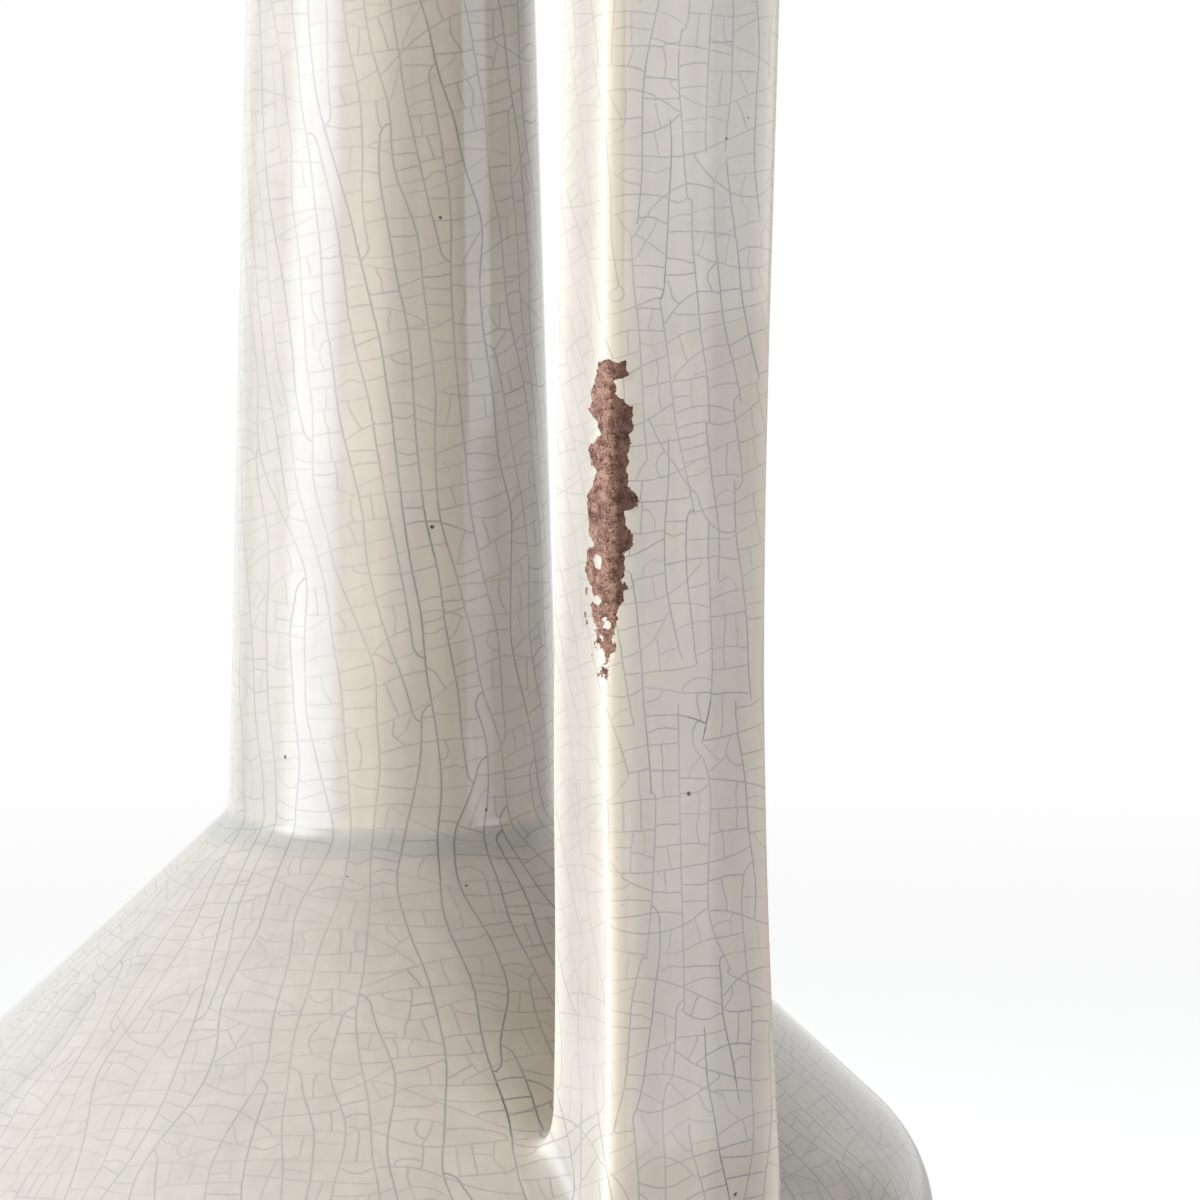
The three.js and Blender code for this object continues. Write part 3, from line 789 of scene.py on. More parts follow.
CRACK_STEP = 0.6 * MM
CRACK_JOIN = 0.72 * MM
SHOULDER_LONG_GAP = 4.6 * MM
NECK_LONG_GAP = 3.8 * MM
STRAP_LONG_GAP = 3.6 * MM
STRAP_LONG_RUN = 16 * MM
ACROSS_GAP = 2.7 * MM
CELL_GAPS = (2.1 * MM, 1.75 * MM, 1.45 * MM)
CRACK_SLOTS = 6
POT_CRACK_WIDTH = 0.125 * MM
STRAP_CRACK_WIDTH = 0.095 * MM
POT_LEAN = 0.05
UPRIGHT_LEAN = 0.17
STRAP_LEAN = 0.12
STRAP_TOP_LEAN = 0.07
STRAP_LEAN_STARTS = (135 * MM, 160 * MM)
STRAP_LEAN_TURNS = (190 * MM, 215 * MM)
LEAN_WANDER = 0.2
MOUTH_DEPTH = 40 * MM
HANDLE_HALF_WIDTH = 24 * MM
LONG_SEEDS, ACROSS_SEEDS, CELL_SEEDS = 0.16, 0.35, 0.7
LONG_BOLDS = [1.2, 1.05, 0.85]
LOOK_BACK = -0.3
STRAIGHT_CRACK_MIDDLE = Vector((84, -1.6, 128)) * MM
STRAIGHT_CRACK_LENGTH = 44 * MM
SIDE_FACE_SHARE = 0.5
# The side of the pot facing the key light, where crack lines are painted fainter as a painted highlight.
PAINTED_HIGHLIGHT_SIDE = level_direction(math.radians(-85))
PAINTED_HIGHLIGHT_SHARE = 0.6
rng = np.random.default_rng(11)


def glazed_faces(piece, keep):
    mesh = piece.data
    points = [vertex.co.copy() for vertex in mesh.vertices]
    return points, [tuple(face.vertices) for face in mesh.polygons if keep(face)]


def outside_of_pot(face):
    """The outer wall, and the inside of the mouth as deep as one can look in."""
    x, y, z = face.center
    facing = x * face.normal.x + y * face.normal.y
    level = abs(face.normal.z) > 0.999 and z < NECK_TOP + 1 * MM
    return not level and z > FOOT_HEIGHT + 0.1 * MM and (facing > 0 or z > NECK_TOP - MOUTH_DEPTH)


def clear_of_pot(face):
    x, y, z = face.center
    return math.hypot(x, y) > radius_at(outer, z) + 0.05 * MM


handle_points, handle_faces = glazed_faces(handle, lambda face: True)
handle_tree = BVHTree.FromPolygons(handle_points, handle_faces)


def clear_of_handle(face):
    if face.center.x < 0 or abs(face.center.y) > HANDLE_HALF_WIDTH:
        return True
    hits, spot = 0, face.center + face.normal * 0.1 * MM
    while hits < 4:
        spot, _, _, _ = handle_tree.ray_cast(spot, face.normal)
        if spot is None:
            break
        hits += 1
        spot = spot + face.normal * 0.01 * MM
    return hits % 2 == 0


skin_points, skin_faces = [], []
for piece in (lower_body, shoulder, neck, mouth_rim):
    points, faces = glazed_faces(piece, lambda face: outside_of_pot(face) and clear_of_handle(face))
    skin_faces += [tuple(len(skin_points) + i for i in face) for face in faces]
    skin_points += points
strap_from = len(skin_faces)
points, faces = glazed_faces(handle, clear_of_pot)
skin_faces += [tuple(len(skin_points) + i for i in face) for face in faces]
skin_points += points
skin = BVHTree.FromPolygons(skin_points, skin_faces)


class Places:
    """Points kept by the box of space they lie in, to find the nearest one quickly."""

    def __init__(self, size):
        self.size = size
        self.boxes = {}

    def box(self, point):
        return tuple(int(math.floor(c / self.size)) for c in point)

    def add(self, point):
        self.boxes.setdefault(self.box(point), []).append(point)

    def nearest(self, point, reach):
        best, best_gap = None, reach
        i, j, k = self.box(point)
        boxes = self.boxes
        for u in (i - 1, i, i + 1):
            for v in (j - 1, j, j + 1):
                for w in (k - 1, k, k + 1):
                    for other in boxes.get((u, v, w), ()):
                        gap = (other - point).length
                        if gap < best_gap:
                            best, best_gap = other, gap
        return best, best_gap


def upright_of_strap(point):
    return point.x > 62 * MM and point.z > 92 * MM


def run_of_pot(point, normal):
    """Down the pot along its skin, with the slight lean that long cracks take. On the strap they lean
    one way beside the worn place and the other way above it."""
    upright = smoothstep(point.z, NECK_SEAM - 6 * MM, NECK_SEAM + 6 * MM)
    lean = POT_LEAN + (UPRIGHT_LEAN - POT_LEAN) * upright
    if upright_of_strap(point):
        lean = (STRAP_LEAN * smoothstep(point.z, *STRAP_LEAN_STARTS)
                - (STRAP_LEAN + STRAP_TOP_LEAN) * smoothstep(point.z, *STRAP_LEAN_TURNS))
    lean += LEAN_WANDER * noise.noise(point / (34 * MM))
    way = Vector((point.x, point.y, 0)).normalized() * 0.3 - Vector((0, 0, 1))
    way = (way - normal * way.dot(normal)).normalized()
    return (way + normal.cross(way) * lean).normalized()


def across_pot(point, normal):
    """Round the pot, square to the long cracks."""
    return normal.cross(run_of_pot(point, normal))


def grow_tip(start, normal, ahead, places, reach, guide, pull, curl, wander, crossing, longest=900):
    """Follows one end of a crack until it meets another one or the end of the glaze. Where it comes
    near another crack it turns into it, because the glaze between them has already given way."""
    points, point, passing = [], start, 0
    for step in range(longest):
        found, gap = (None, 0) if passing else places.nearest(point, reach)
        passing = max(0, passing - 1)
        if found is not None:
            toward = found - point
            facing = toward.dot(ahead)
            if gap < CRACK_JOIN and facing > LOOK_BACK * gap:
                points.append(found)
                if rng.random() > crossing:
                    break
                passing = 3
            elif facing > LOOK_BACK * gap:
                ahead = ahead + toward.normalized() * (0.3 + 0.5 * (1 - gap / reach))
        if guide:
            way = guide(point, normal)
            ahead = ahead + way * (pull if way.dot(ahead) > 0 else -pull)
        turn = curl + wander * noise.noise(point / (9 * MM) + Vector((5, 5, 9)))
        ahead = (ahead + normal.cross(ahead) * turn).normalized()
        target = point + ahead * CRACK_STEP
        place, normal, _, off = skin.find_nearest(target)
        if off > 0.35 * CRACK_STEP or (place - point).length < 0.3 * CRACK_STEP:
            break
        ahead = place - point
        ahead = (ahead - normal * ahead.dot(normal)).normalized()
        point = place
        points.append(point)
    return points


cracks = []


def open_crack(seed, normal, ahead, bold, keep_in, **habit):
    """Opens a crack both ways from a seed and remembers where it runs."""
    curl = habit.pop("curl")
    one = grow_tip(seed, normal, ahead, curl=curl, **habit)
    other = grow_tip(seed, normal, -ahead, curl=-curl, **habit)
    line = other[::-1] + [seed] + one
    if len(line) < 4:
        return
    cracks.append((line, bold))
    for point in line:
        for places in keep_in:
            places.add(point)


face_corners = np.array([skin_points[face[0]] for face in skin_faces])
face_sides = np.array([skin_points[face[1]] for face in skin_faces]) - face_corners
face_ends = np.array([skin_points[face[-1]] for face in skin_faces]) - face_corners
face_areas = np.linalg.norm(np.cross(face_sides, face_ends), axis=1)
skin_area = float(face_areas.sum())


def scattered(per_square_mm):
    """Seeded points spread evenly over the glazed skin."""
    count = int(skin_area / MM ** 2 * per_square_mm)
    chosen = rng.choice(len(skin_faces), size=count, p=face_areas / face_areas.sum())
    across, along = rng.random(count), rng.random(count)
    spots = face_corners[chosen] + face_sides[chosen] * across[:, None] + face_ends[chosen] * along[:, None]
    return [Vector(spot) for spot in spots]


long_places = Places(SHOULDER_LONG_GAP)
across_places = Places(ACROSS_GAP)
all_places = Places(3 * MM)


def long_gap(point):
    """How far apart the long cracks lie: closest on the strap, widest down the shoulder."""
    if upright_of_strap(point):
        return STRAP_LONG_GAP
    on_neck = smoothstep(point.z, NECK_SEAM - 14 * MM, NECK_SEAM)
    return SHOULDER_LONG_GAP + (NECK_LONG_GAP - SHOULDER_LONG_GAP) * on_neck


def straight_down(point, normal):
    return (Vector((0, 0, -1)) + normal * normal.z).normalized()


# One crack runs straight down the strap's broad face, longer than its neighbours.
seed, normal, _, _ = skin.find_nearest(STRAIGHT_CRACK_MIDDLE)
open_crack(seed, normal, straight_down(seed, normal), 0.8, (long_places, all_places), places=long_places,
           reach=0, guide=straight_down, pull=0.5, curl=0, wander=0, crossing=0,
           longest=round(STRAIGHT_CRACK_LENGTH / 2 / CRACK_STEP))

for spot in scattered(LONG_SEEDS):
    gap = long_gap(spot)
    if long_places.nearest(spot, gap)[0] is None:
        seed, normal, face, _ = skin.find_nearest(spot)
        on_strap = face >= strap_from
        open_crack(seed, normal, run_of_pot(seed, normal), float(rng.choice(LONG_BOLDS)),
                   (long_places, all_places), places=long_places, reach=0.45 * gap, guide=run_of_pot,
                   pull=0.07 if on_strap else 0.11, curl=0, crossing=0,
                   wander=0.09 if spot.z < NECK_SEAM else 0.05,
                   longest=round(STRAP_LONG_RUN / CRACK_STEP) if on_strap else 900)
for spot in scattered(ACROSS_SEEDS):
    if across_places.nearest(spot, ACROSS_GAP)[0] is None:
        seed, normal, face, _ = skin.find_nearest(spot)
        on_strap = face >= strap_from
        bold = float(rng.uniform(0.6, 0.9) if on_strap else rng.uniform(0.38, 0.7))
        open_crack(seed, normal, across_pot(seed, normal), bold, (across_places, all_places),
                   places=all_places, reach=1.1 * MM, guide=across_pot, pull=0.06,
                   curl=float(rng.normal(0, 0.045 if on_strap else 0.03)), wander=0.08, crossing=0.35)
for gap in CELL_GAPS:
    for spot in scattered(CELL_SEEDS):
        if all_places.nearest(spot, gap)[0] is not None:
            continue
        found, _ = all_places.nearest(spot, 3 * MM)
        seed, normal, _, _ = skin.find_nearest(spot)
        ahead = run_of_pot(seed, normal) if found is None else found - seed
        ahead = (ahead - normal * ahead.dot(normal)).normalized()
        curl = float(rng.normal(0, 0.13 if rng.random() < 0.5 else 0.03))
        open_crack(seed, normal, ahead, float(rng.uniform(0.45, 0.85)), (all_places,), places=all_places,
                   reach=1.4 * MM, guide=None, pull=0, curl=curl, wander=0.05, crossing=0)


def straightened(line, off=0.035 * MM, longest=4):
    """Leaves out the points of a crack that lie on the line between their neighbours."""
    kept, start = [line[0]], 0
    while start < len(line) - 1:
        end = start + 1
        while end + 1 < len(line) and end + 1 - start <= longest:
            chord = line[end + 1] - line[start]
            length = max(chord.length, 1e-9)
            between = [line[m] - line[start] for m in range(start + 1, end + 1)]
            if any(step.cross(chord).length / length > off for step in between):
                break
            end += 1
        kept.append(line[end])
        start = end
    return kept


# Where dirt has darkened the cracks: a place, how far round it, both in mm, and how much darker.
STAINS = [
    ((83, 2, 149), 4, 1.1),
    ((61, -15, 89), 7, 1.0),
    ((83, 6, 98), 6, 0.5),
    ((24, -8, 171), 5, 0.35),
    ((84, 5, 80), 6, 0.6),
]


def stain_and_painted_highlight(point):
    """How dark a crack is here: uneven all over, near black in a few places, and faint on the strap's
    narrow side faces. Down the side of the pot that faces the key light the lines are painted fainter, a
    painted highlight."""
    amount = 1 + 0.35 * noise.noise(point / (11 * MM))
    if upright_of_strap(point):
        amount *= 1 - (1 - SIDE_FACE_SHARE) * smoothstep(abs(point.y), 11.5 * MM, 13.5 * MM)
    else:
        # Down the side facing the key light the lines are painted fainter: a painted highlight.
        toward_painted_highlight = Vector((point.x, point.y, 0)).normalized().dot(PAINTED_HIGHLIGHT_SIDE)
        amount *= 1 - (1 - PAINTED_HIGHLIGHT_SHARE) * smoothstep(toward_painted_highlight, 0.3, 0.95)
    for centre, reach, extra in STAINS:
        gap = (point - Vector(centre) * MM).length / (reach * MM)
        amount += extra * max(0, 1 - gap * gap)
    return amount


segments = []
for line, bold in cracks:
    kept = straightened(line)
    segments += [(a, b, bold * stain_and_painted_highlight(a)) for a, b in zip(kept, kept[1:]) if (a - b).length > 0.01 * MM]

FACE_REACH = 1.2 * MM


def crack_width(face):
    """Cracks are finer on the strap, and as wide as the pot's where the strap runs out over it."""
    x, y, z = face.center
    on_strap = smoothstep(math.hypot(x, y) - radius_at(outer, z), 1 * MM, 9 * MM)
    return POT_CRACK_WIDTH + (STRAP_CRACK_WIDTH - POT_CRACK_WIDTH) * on_strap


def etch(piece):
    """Writes on each face of a piece the few stretches of crack that cross it or pass close by."""
    mesh = piece.data
    centres = KDTree(len(mesh.polygons))
    for face in mesh.polygons:
        centres.insert(face.center, face.index)
    centres.balance()
    beside = {}
    for index, (a, b, _) in enumerate(segments):
        count = max(1, math.ceil((b - a).length / (0.6 * MM)))
        for i in range(count + 1):
            for centre, face, _ in centres.find_range(a.lerp(b, i / count), FACE_REACH):
                beside.setdefault(face, set()).add(index)
    starts = np.zeros((CRACK_SLOTS, len(mesh.polygons), 3))
    ends = np.zeros((CRACK_SLOTS, len(mesh.polygons), 3))
    bolds = np.zeros((CRACK_SLOTS, len(mesh.polygons)))

    def distance(centre, index):
        a, b, _ = segments[index]
        t = min(max((centre - a).dot(b - a) / (b - a).length_squared, 0), 1)
        return (centre - a.lerp(b, t)).length

    for face, mine in beside.items():
        centre = mesh.polygons[face].center
        mine = sorted(mine, key=lambda index: (distance(centre, index), index))
        for slot, index in enumerate(mine[:CRACK_SLOTS]):
            starts[slot, face], ends[slot, face], bolds[slot, face] = segments[index]
    for slot in range(CRACK_SLOTS):
        for name, kind, values in (
            (f"crack_start_{slot}", "FLOAT_VECTOR", starts[slot]),
            (f"crack_end_{slot}", "FLOAT_VECTOR", ends[slot]),
            (f"crack_bold_{slot}", "FLOAT", bolds[slot]),
        ):
            layer = mesh.attributes.new(name, kind, "FACE")
            layer.data.foreach_set("vector" if kind == "FLOAT_VECTOR" else "value", values.ravel())
    widths = mesh.attributes.new("crack_width", "FLOAT", "FACE")
    widths.data.foreach_set("value", [crack_width(face) for face in mesh.polygons])


for piece in (lower_body, shoulder, neck, mouth_rim, handle):
    etch(piece)


# Glaze
# A pale ash glaze, thick and glassy, fired in little air. Over sharp edges it is painted paler and creamy,
# partly thinner glaze and partly a painted highlight; it pools blue-grey in the crease, and is worn
# through to the brown clay on the ridge of the strap.

GLAZE_COLOUR = "#CFC6B9"
# Paler edge colour: partly thinner glaze, partly a painted highlight.
THIN_GLAZE_AND_HIGHLIGHT = "#F3E6D4"
POOLED_TONE = (0.86, 0.90, 0.92, 1)
CRACK_TONE = (0.56, 0.61, 0.67, 1)
DARK_STAIN_TONE = (0.40, 0.35, 0.36, 1)
SPECK_TONE = (0.45, 0.30, 0.22, 1)
GLAZE_ROUGHNESS = 0.06
GLAZE_IOR = 1.5
CLOUD_SIZE = 16 * MM
FINE_CLOUD_SIZE = 2.4 * MM
RUN_WIDTH = 3.2 * MM
RUN_LENGTH = 70 * MM
SPECK_CELL = 2.4 * MM
SPECK_RADIUS = 0.15 * MM
POOL_LOW = CREASE_HEIGHT - 3.9 * MM
POOL_FULL_FROM = CREASE_HEIGHT - 1.9 * MM
POOL_FULL_TO = CREASE_HEIGHT - 0.4 * MM
POOL_HIGH = CREASE_HEIGHT + 1.5 * MM
POOL_UNEVEN = 1 * MM
# Darkening past the strap's facet: mostly a painted shade, a touch browner.
FACET_SHADE_AND_TONE = (0.88, 0.87, 0.87, 1)
LINE_SHARPNESS = -0.7
RUN_RELIEF = 0.005 * MM
GROOVE_DEPTH = 0.004 * MM
WAVER_SIZE = 0.9 * MM
WAVER = 0.2 * MM
SPOT_COLOUR = "#544238"
SPOT_UNEVEN = 0.7 * MM
CHIP_STEP = 0.12 * MM

line_group = bpy.data.node_groups.new("crack_line", "ShaderNodeTree")
for name in ("Point", "Start", "End"):
    line_group.interface.new_socket(name, in_out="INPUT", socket_type="NodeSocketVector")
for name in ("Bold", "Width"):
    line_group.interface.new_socket(name, in_out="INPUT", socket_type="NodeSocketFloat")
line_group.interface.new_socket("Line", in_out="OUTPUT", socket_type="NodeSocketFloat")
given = line_group.nodes.new("NodeGroupInput").outputs
result = line_group.nodes.new("NodeGroupOutput")
away = add_node(line_group, "VectorMath", {0: given["Point"], 1: given["Start"]},
                operation="SUBTRACT").outputs[0]
whole = add_node(line_group, "VectorMath", {0: given["End"], 1: given["Start"]},
                 operation="SUBTRACT").outputs[0]
reach = add_node(line_group, "VectorMath", {0: away, 1: whole}, operation="DOT_PRODUCT").outputs["Value"]
square = add_node(line_group, "VectorMath", {0: whole, 1: whole}, operation="DOT_PRODUCT").outputs["Value"]
share = add_node(line_group, "Math", {0: reach, 1: square}, operation="DIVIDE", use_clamp=True).outputs[0]
along = add_node(line_group, "VectorMath", {0: whole, "Scale": share}, operation="SCALE").outputs[0]
gap = add_node(line_group, "VectorMath", {0: away, 1: along}, operation="DISTANCE").outputs["Value"]
widths = add_node(line_group, "Math", {0: gap, 1: given["Width"]}, operation="DIVIDE").outputs[0]
fall = add_node(line_group, "Math", {0: widths, 1: 2.0}, operation="POWER").outputs[0]
drop = add_node(line_group, "Math", {0: fall, 1: LINE_SHARPNESS}, operation="MULTIPLY").outputs[0]
line = add_node(line_group, "Math", {0: drop}, operation="EXPONENT").outputs[0]
shown = add_node(line_group, "Math", {0: line, 1: given["Bold"]}, operation="MULTIPLY").outputs[0]
line_group.links.new(shown, result.inputs["Line"])


def between(tree, value, start, full_from, full_to, end):
    """1 where a value lies from full_from to full_to, fading to 0 at start and at end."""
    sides = [add_node(tree, "MapRange", {"Value": value, "From Min": nothing, "From Max": full},
                      interpolation_type="SMOOTHSTEP").outputs[0]
             for nothing, full in ((start, full_from), (end, full_to))]
    return add_node(tree, "Math", {0: sides[0], 1: sides[1]}, operation="MULTIPLY").outputs[0]


tree = crackle_glaze.node_tree
principled = tree.nodes["Principled BSDF"]
place = add_node(tree, "TexCoord").outputs["Object"]
height = add_node(tree, "SeparateXYZ", {0: place}).outputs["Z"]

# Cracks waver a little between the points that their course is kept by.
waver = add_node(tree, "TexNoise", {"Vector": place, "Scale": 1 / WAVER_SIZE,
                                    "Detail": 1.0}).outputs["Color"]
centred = add_node(tree, "VectorMath", {0: waver, 1: (0.5, 0.5, 0.5)}, operation="SUBTRACT").outputs[0]
shift = add_node(tree, "VectorMath", {0: centred, "Scale": WAVER}, operation="SCALE").outputs[0]
wavered = add_node(tree, "VectorMath", {0: place, 1: shift}, operation="ADD").outputs[0]
width = add_node(tree, "Attribute", attribute_name="crack_width").outputs["Fac"]
crackle = None
for slot in range(CRACK_SLOTS):
    found = tree.nodes.new("ShaderNodeGroup")
    found.node_tree = line_group
    tree.links.new(wavered, found.inputs["Point"])
    tree.links.new(width, found.inputs["Width"])
    for socket, name, output in (("Start", "crack_start", "Vector"), ("End", "crack_end", "Vector"),
                                 ("Bold", "crack_bold", "Fac")):
        stored = add_node(tree, "Attribute", attribute_name=f"{name}_{slot}")
        tree.links.new(stored.outputs[output], found.inputs[socket])
    crackle = found.outputs[0] if crackle is None else add_node(
        tree, "Math", {0: crackle, 1: found.outputs[0]}, operation="MAXIMUM").outputs[0]

# The glaze's colour: faint clouds, runs down the pot, pooled in the crease, and paler at edges, partly
# thinner glaze and partly a painted highlight.
clouds = add_node(tree, "TexNoise", {"Vector": place, "Scale": 1 / CLOUD_SIZE,
                                     "Detail": 2.0}).outputs["Fac"]
fine = add_node(tree, "TexNoise", {"Vector": place, "Scale": 1 / FINE_CLOUD_SIZE,
                                   "Detail": 3.0}).outputs["Fac"]
run_scale = (1 / RUN_WIDTH, 1 / RUN_WIDTH, 1 / RUN_LENGTH)
stretched = add_node(tree, "Mapping", {"Vector": place, "Scale": run_scale}).outputs[0]
runs = add_node(tree, "TexNoise", {"Vector": stretched, "Scale": 1.0, "Detail": 2.0}).outputs["Fac"]
tone = None
for pattern, darkest, palest in ((clouds, 0.955, 1.03), (fine, 0.975, 1.02), (runs, 0.965, 1.03)):
    shade = add_node(tree, "MapRange", {"Value": pattern, "From Min": 0.3, "From Max": 0.7,
                                        "To Min": darkest, "To Max": palest}).outputs[0]
    tone = shade if tone is None else add_node(
        tree, "Math", {0: tone, 1: shade}, operation="MULTIPLY").outputs[0]
glaze_colour = add_node(tree, "VectorMath", {0: linear(GLAZE_COLOUR)[:3], "Scale": tone}, operation="SCALE")
thinness_and_highlight = add_node(tree, "Attribute", attribute_name="thin_glaze_and_highlight").outputs["Fac"]
edged_and_highlighted = add_node(tree, "MixRGB", {0: thinness_and_highlight, 1: glaze_colour.outputs[0], 2: linear(THIN_GLAZE_AND_HIGHLIGHT)}).outputs[0]
level = add_node(tree, "Math", {0: fine, 1: POOL_UNEVEN, 2: height}, operation="MULTIPLY_ADD").outputs[0]
in_crease = between(tree, level, POOL_LOW, POOL_FULL_FROM, POOL_FULL_TO, POOL_HIGH)
on_pot = add_node(tree, "Attribute", attribute_name="on_pot").outputs["Fac"]
pool = add_node(tree, "Math", {0: in_crease, 1: on_pot}, operation="MULTIPLY").outputs[0]
pooled_and_facet_shaded = add_node(tree, "MixRGB", {0: pool, 1: edged_and_highlighted, 2: POOLED_TONE}, blend_type="MULTIPLY").outputs[0]

# The strap's broad face turns a little at its facet, and past it the glaze is painted darker, a painted shade
# of the turned face, and a touch browner.
from_ridge = add_node(tree, "Attribute", attribute_name="from_ridge").outputs["Fac"]
shaded_past_facet = between(tree, from_ridge, 15.5 * MM, 18.5 * MM, 26 * MM, 30 * MM)
pooled_and_facet_shaded = add_node(tree, "MixRGB", {0: shaded_past_facet, 1: pooled_and_facet_shaded, 2: FACET_SHADE_AND_TONE},
                  blend_type="MULTIPLY").outputs[0]

# Iron specks from the clay come through the glaze here and there.
specks = add_node(tree, "TexVoronoi", {"Vector": place, "Scale": 1 / SPECK_CELL})
speck = add_node(tree, "MapRange", {
    "Value": specks.outputs["Distance"], "From Min": SPECK_RADIUS / SPECK_CELL,
    "From Max": SPECK_RADIUS / SPECK_CELL * 0.4}, interpolation_type="SMOOTHSTEP").outputs[0]
chosen = add_node(tree, "SeparateXYZ", {0: specks.outputs["Color"]}).outputs["X"]
strong = add_node(tree, "MapRange", {"Value": chosen, "From Min": 0.35, "To Max": 0.8}).outputs[0]
speck_shown = add_node(tree, "Math", {0: speck, 1: strong}, operation="MULTIPLY").outputs[0]
specked = add_node(tree, "MixRGB", {0: speck_shown, 1: pooled_and_facet_shaded, 2: SPECK_TONE},
                   blend_type="MULTIPLY").outputs[0]

stained = add_node(tree, "MixRGB", {0: crackle, 1: specked, 2: CRACK_TONE}, blend_type="MULTIPLY",
                   use_clamp=True).outputs[0]
excess = add_node(tree, "Math", {0: crackle, 1: 1.0}, operation="SUBTRACT", use_clamp=True).outputs[0]
colour = add_node(tree, "MixRGB", {0: excess, 1: stained, 2: DARK_STAIN_TONE},
                  blend_type="MULTIPLY").outputs[0]

# Pinholes and iron spots that burnt through, as dark grains with a soft brown edge. Each is set down
# to the millimetre, and lies on the skin nearest to that.
SPOTS = [
    ((23, -5, 218), 0.4), ((23, -7, 171), 0.6), ((8, -24, 135), 0.5), ((23, -22, 118), 0.4),
    ((33, -7, 117), 0.4), ((26, 1, 127), 0.45), ((83, 0, 137), 0.55), ((85, 7, 77), 0.6),
    ((84, 6, 232), 0.3), ((83, 10, 235), 0.3), ((-18, 14, 201), 0.4), ((-40, 31, 98), 0.5),
    ((12, 60, 88), 0.45), ((71, 4, 214), 0.4),
]
spotted = None
rough_shift = add_node(tree, "VectorMath", {0: centred, "Scale": SPOT_UNEVEN}, operation="SCALE").outputs[0]
uneven = add_node(tree, "VectorMath", {0: place, 1: rough_shift}, operation="ADD").outputs[0]
for centre, radius in SPOTS:
    on_skin = skin.find_nearest(Vector(centre) * MM)[0]
    gap = add_node(tree, "VectorMath", {0: uneven, 1: on_skin}, operation="DISTANCE")
    edges = {"From Min": 0.85 * radius * MM, "From Max": 0.3 * radius * MM}
    dot = add_node(tree, "MapRange", {"Value": gap.outputs["Value"], **edges},
                   interpolation_type="SMOOTHSTEP").outputs[0]
    spotted = dot if spotted is None else add_node(
        tree, "Math", {0: spotted, 1: dot}, operation="MAXIMUM").outputs[0]
colour = add_node(tree, "MixRGB", {0: spotted, 1: colour, 2: linear(SPOT_COLOUR)}).outputs[0]

# The worn place: its edge follows the kept widths over both faces of the ridge, broken up by the
# way glaze flakes off, and bare clay shows inside it.
CHIP_FLAKE = 1.3 * MM
CHIP_RAGGED = 1.5 * MM
CHIP_BROKEN_UP = 4.5 * MM
CHIP_EDGE = 0.045 * MM
CHIP_SPAN = 8 * MM
CHIP_MARGIN = 1 * MM
# Darker clay where the chip runs into the broad face: a painted shade.
CHIP_FACE_SHADE_TONE = (0.46, 0.40, 0.41, 1)
CHIP_ISLANDS = [((-2.5, 171.5), 1.1), ((-2.5, 166), 0.8), ((-0.5, 162.5), 0.8), ((-1.5, 160.5), 0.7),
                ((-1.5, 158.5), 0.5)]
CHIP_FLECKS = [((-5, 167), 0.4), ((-5.5, 163.5), 0.4), ((-5, 162.5), 0.4), ((2.5, 168), 0.5),
               ((-3.5, 158), 0.3)]
flakes = add_node(tree, "TexNoise", {"Vector": place, "Scale": 1 / CHIP_FLAKE, "Detail": 3.0,
                                     "Roughness": 0.6}).outputs["Color"]
flake = add_node(tree, "VectorMath", {0: flakes, 1: (0.5, 0.5, 0.5)}, operation="SUBTRACT").outputs[0]
# Towards its lower end the glaze has come away in bits.
raggedness = add_node(tree, "MapRange", {
    "Value": height, "From Min": 155 * MM, "From Max": 166 * MM, "To Min": CHIP_BROKEN_UP,
    "To Max": CHIP_RAGGED}).outputs[0]
flake = add_node(tree, "VectorMath", {0: flake, "Scale": raggedness}, operation="SCALE").outputs[0]
ragged = add_node(tree, "SeparateXYZ", {0: flake}).outputs
ragged_height = add_node(tree, "Math", {0: height, 1: ragged["X"]}, operation="ADD").outputs[0]
ragged_across = add_node(tree, "Math", {0: from_ridge, 1: ragged["Y"]}, operation="ADD").outputs[0]
share = add_node(tree, "MapRange", {"Value": ragged_height, "From Min": float(chip_heights[0]),
                                    "From Max": float(chip_heights[-1])}).outputs[0]
insides = []
for edge, sign in ((chip_over_front, -1.0), (chip_over_side, 1.0)):
    bend = add_node(tree, "FloatCurve", {"Value": share})
    points = bend.mapping.curves[0].points
    while len(points) < len(edge):
        points.new(0.5, 0.5)
    for point, level, reach in zip(points, chip_heights, edge):
        at = (level - chip_heights[0]) / (chip_heights[-1] - chip_heights[0])
        point.location = (at, (reach + CHIP_MARGIN) / CHIP_SPAN)
        point.handle_type = "VECTOR"
    bend.mapping.update()
    width_here = add_node(tree, "Math", {0: bend.outputs[0], 1: CHIP_SPAN, 2: -CHIP_MARGIN},
                          operation="MULTIPLY_ADD")
    insides.append(add_node(tree, "Math", {0: ragged_across, 1: sign, 2: width_here.outputs[0]},
                            operation="MULTIPLY_ADD").outputs[0])
inside = add_node(tree, "Math", {0: insides[0], 1: insides[1]}, operation="MINIMUM").outputs[0]
spot_on_ridge = add_node(tree, "CombineXYZ", {"X": ragged_across, "Y": ragged_height}).outputs[0]
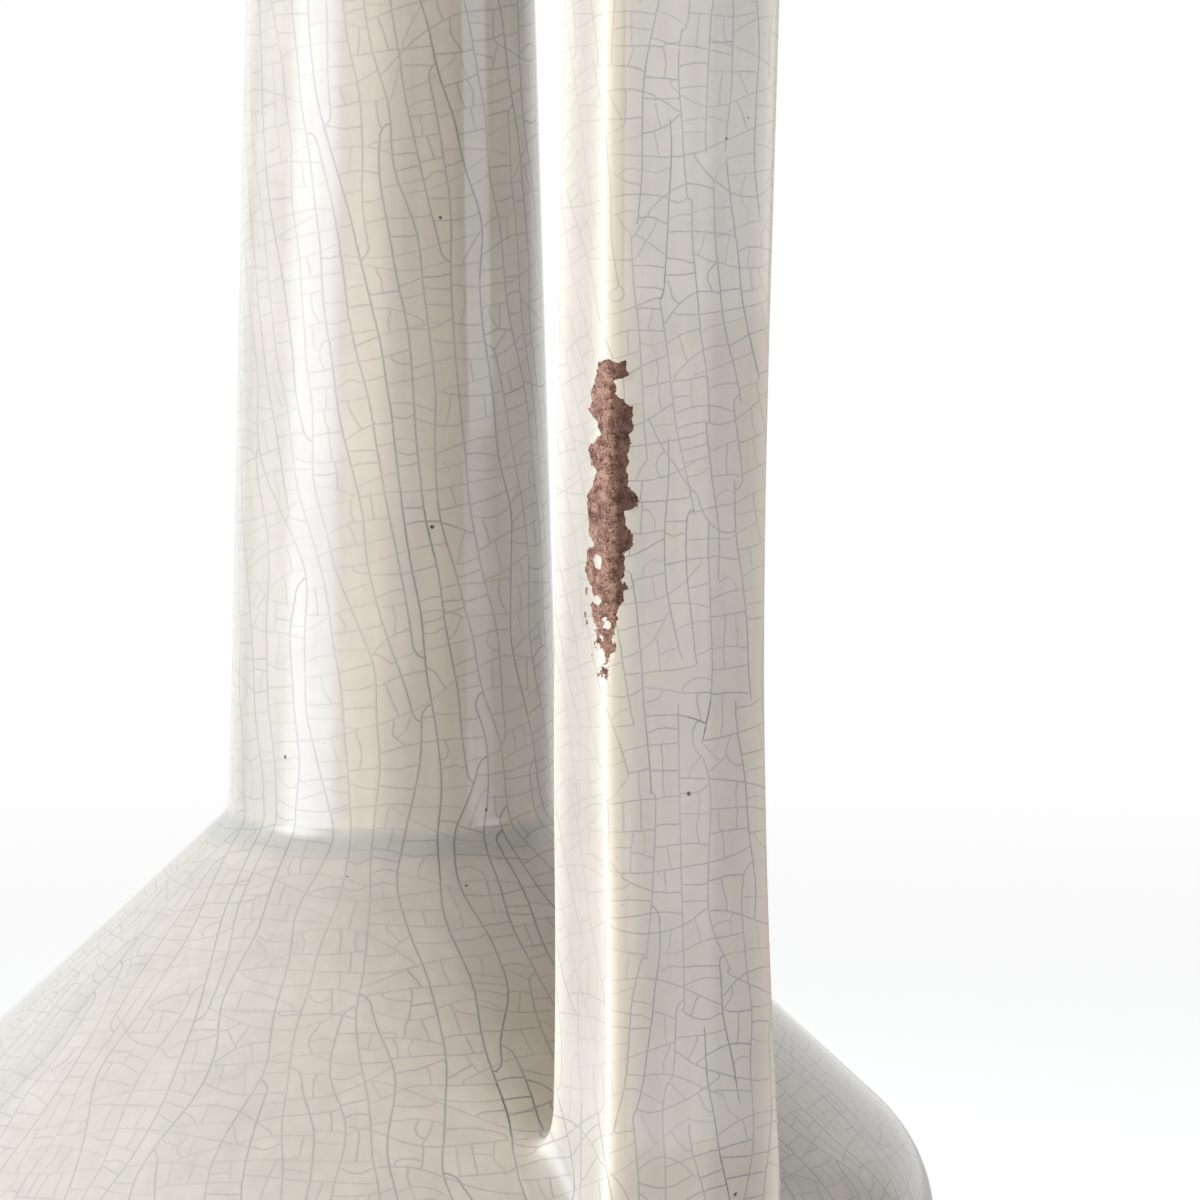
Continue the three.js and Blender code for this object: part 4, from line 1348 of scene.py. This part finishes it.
# Islands are taken out of the bare clay, and flecks are added beside it.
for marks, operation in ((CHIP_ISLANDS, "MINIMUM"), (CHIP_FLECKS, "MAXIMUM")):
    for (across, level), radius in marks:
        centre = (across * MM, level * MM, 0)
        gap = add_node(tree, "VectorMath", {0: spot_on_ridge, 1: centre}, operation="DISTANCE")
        pair = [gap.outputs["Value"], radius * MM]
        if marks is CHIP_FLECKS:
            pair.reverse()
        edge = add_node(tree, "Math", {0: pair[0], 1: pair[1]}, operation="SUBTRACT").outputs[0]
        inside = add_node(tree, "Math", {0: inside, 1: edge}, operation=operation).outputs[0]
in_chip = add_node(tree, "MapRange", {"Value": inside, "From Min": -CHIP_EDGE, "From Max": CHIP_EDGE},
                   interpolation_type="SMOOTHSTEP").outputs[0]
on_strap = add_node(tree, "Attribute", attribute_name="near_ridge").outputs["Fac"]
chip = add_node(tree, "Math", {0: in_chip, 1: on_strap}, operation="MULTIPLY").outputs[0]
clay_and_shade_colour, clay_height = stoneware_colour(tree, place)
# The clay is painted darker where it is chipped into the broad face, a painted shade, so the ridge itself
# shows paler.
shaded_off_ridge = add_node(tree, "MapRange", {"Value": ragged_across, "From Min": 0.4 * MM, "From Max": 1.8 * MM},
                     interpolation_type="SMOOTHSTEP").outputs[0]
clay_and_shade_colour = add_node(tree, "MixRGB", {0: shaded_off_ridge, 1: clay_and_shade_colour, 2: CHIP_FACE_SHADE_TONE},
                       blend_type="MULTIPLY").outputs[0]
shown_colour = add_node(tree, "MixRGB", {0: chip, 1: colour, 2: clay_and_shade_colour}).outputs[0]
roughness = add_node(tree, "MapRange", {"Value": chip, "To Min": GLAZE_ROUGHNESS,
                                        "To Max": STONEWARE_ROUGHNESS}).outputs[0]

# Heights: runs of the melted glaze, the hair-fine groove of a crack, and the clay lying lower in the chip.
run_height = add_node(tree, "Math", {0: runs, 1: RUN_RELIEF}, operation="MULTIPLY").outputs[0]
groove = add_node(tree, "Math", {0: crackle, 1: -GROOVE_DEPTH, 2: run_height},
                  operation="MULTIPLY_ADD").outputs[0]
clay_low = add_node(tree, "Math", {0: clay_height, 1: CHIP_STEP}, operation="SUBTRACT").outputs[0]
relief = add_node(tree, "Mix", {"Factor": chip, "A": groove, "B": clay_low}).outputs[0]
normal = add_node(tree, "Bump", {"Height": relief, "Distance": 1.0}).outputs[0]

tree.links.new(shown_colour, principled.inputs["Base Color"])
tree.links.new(roughness, principled.inputs["Roughness"])
tree.links.new(normal, principled.inputs["Normal"])
principled.inputs["IOR"].default_value = GLAZE_IOR
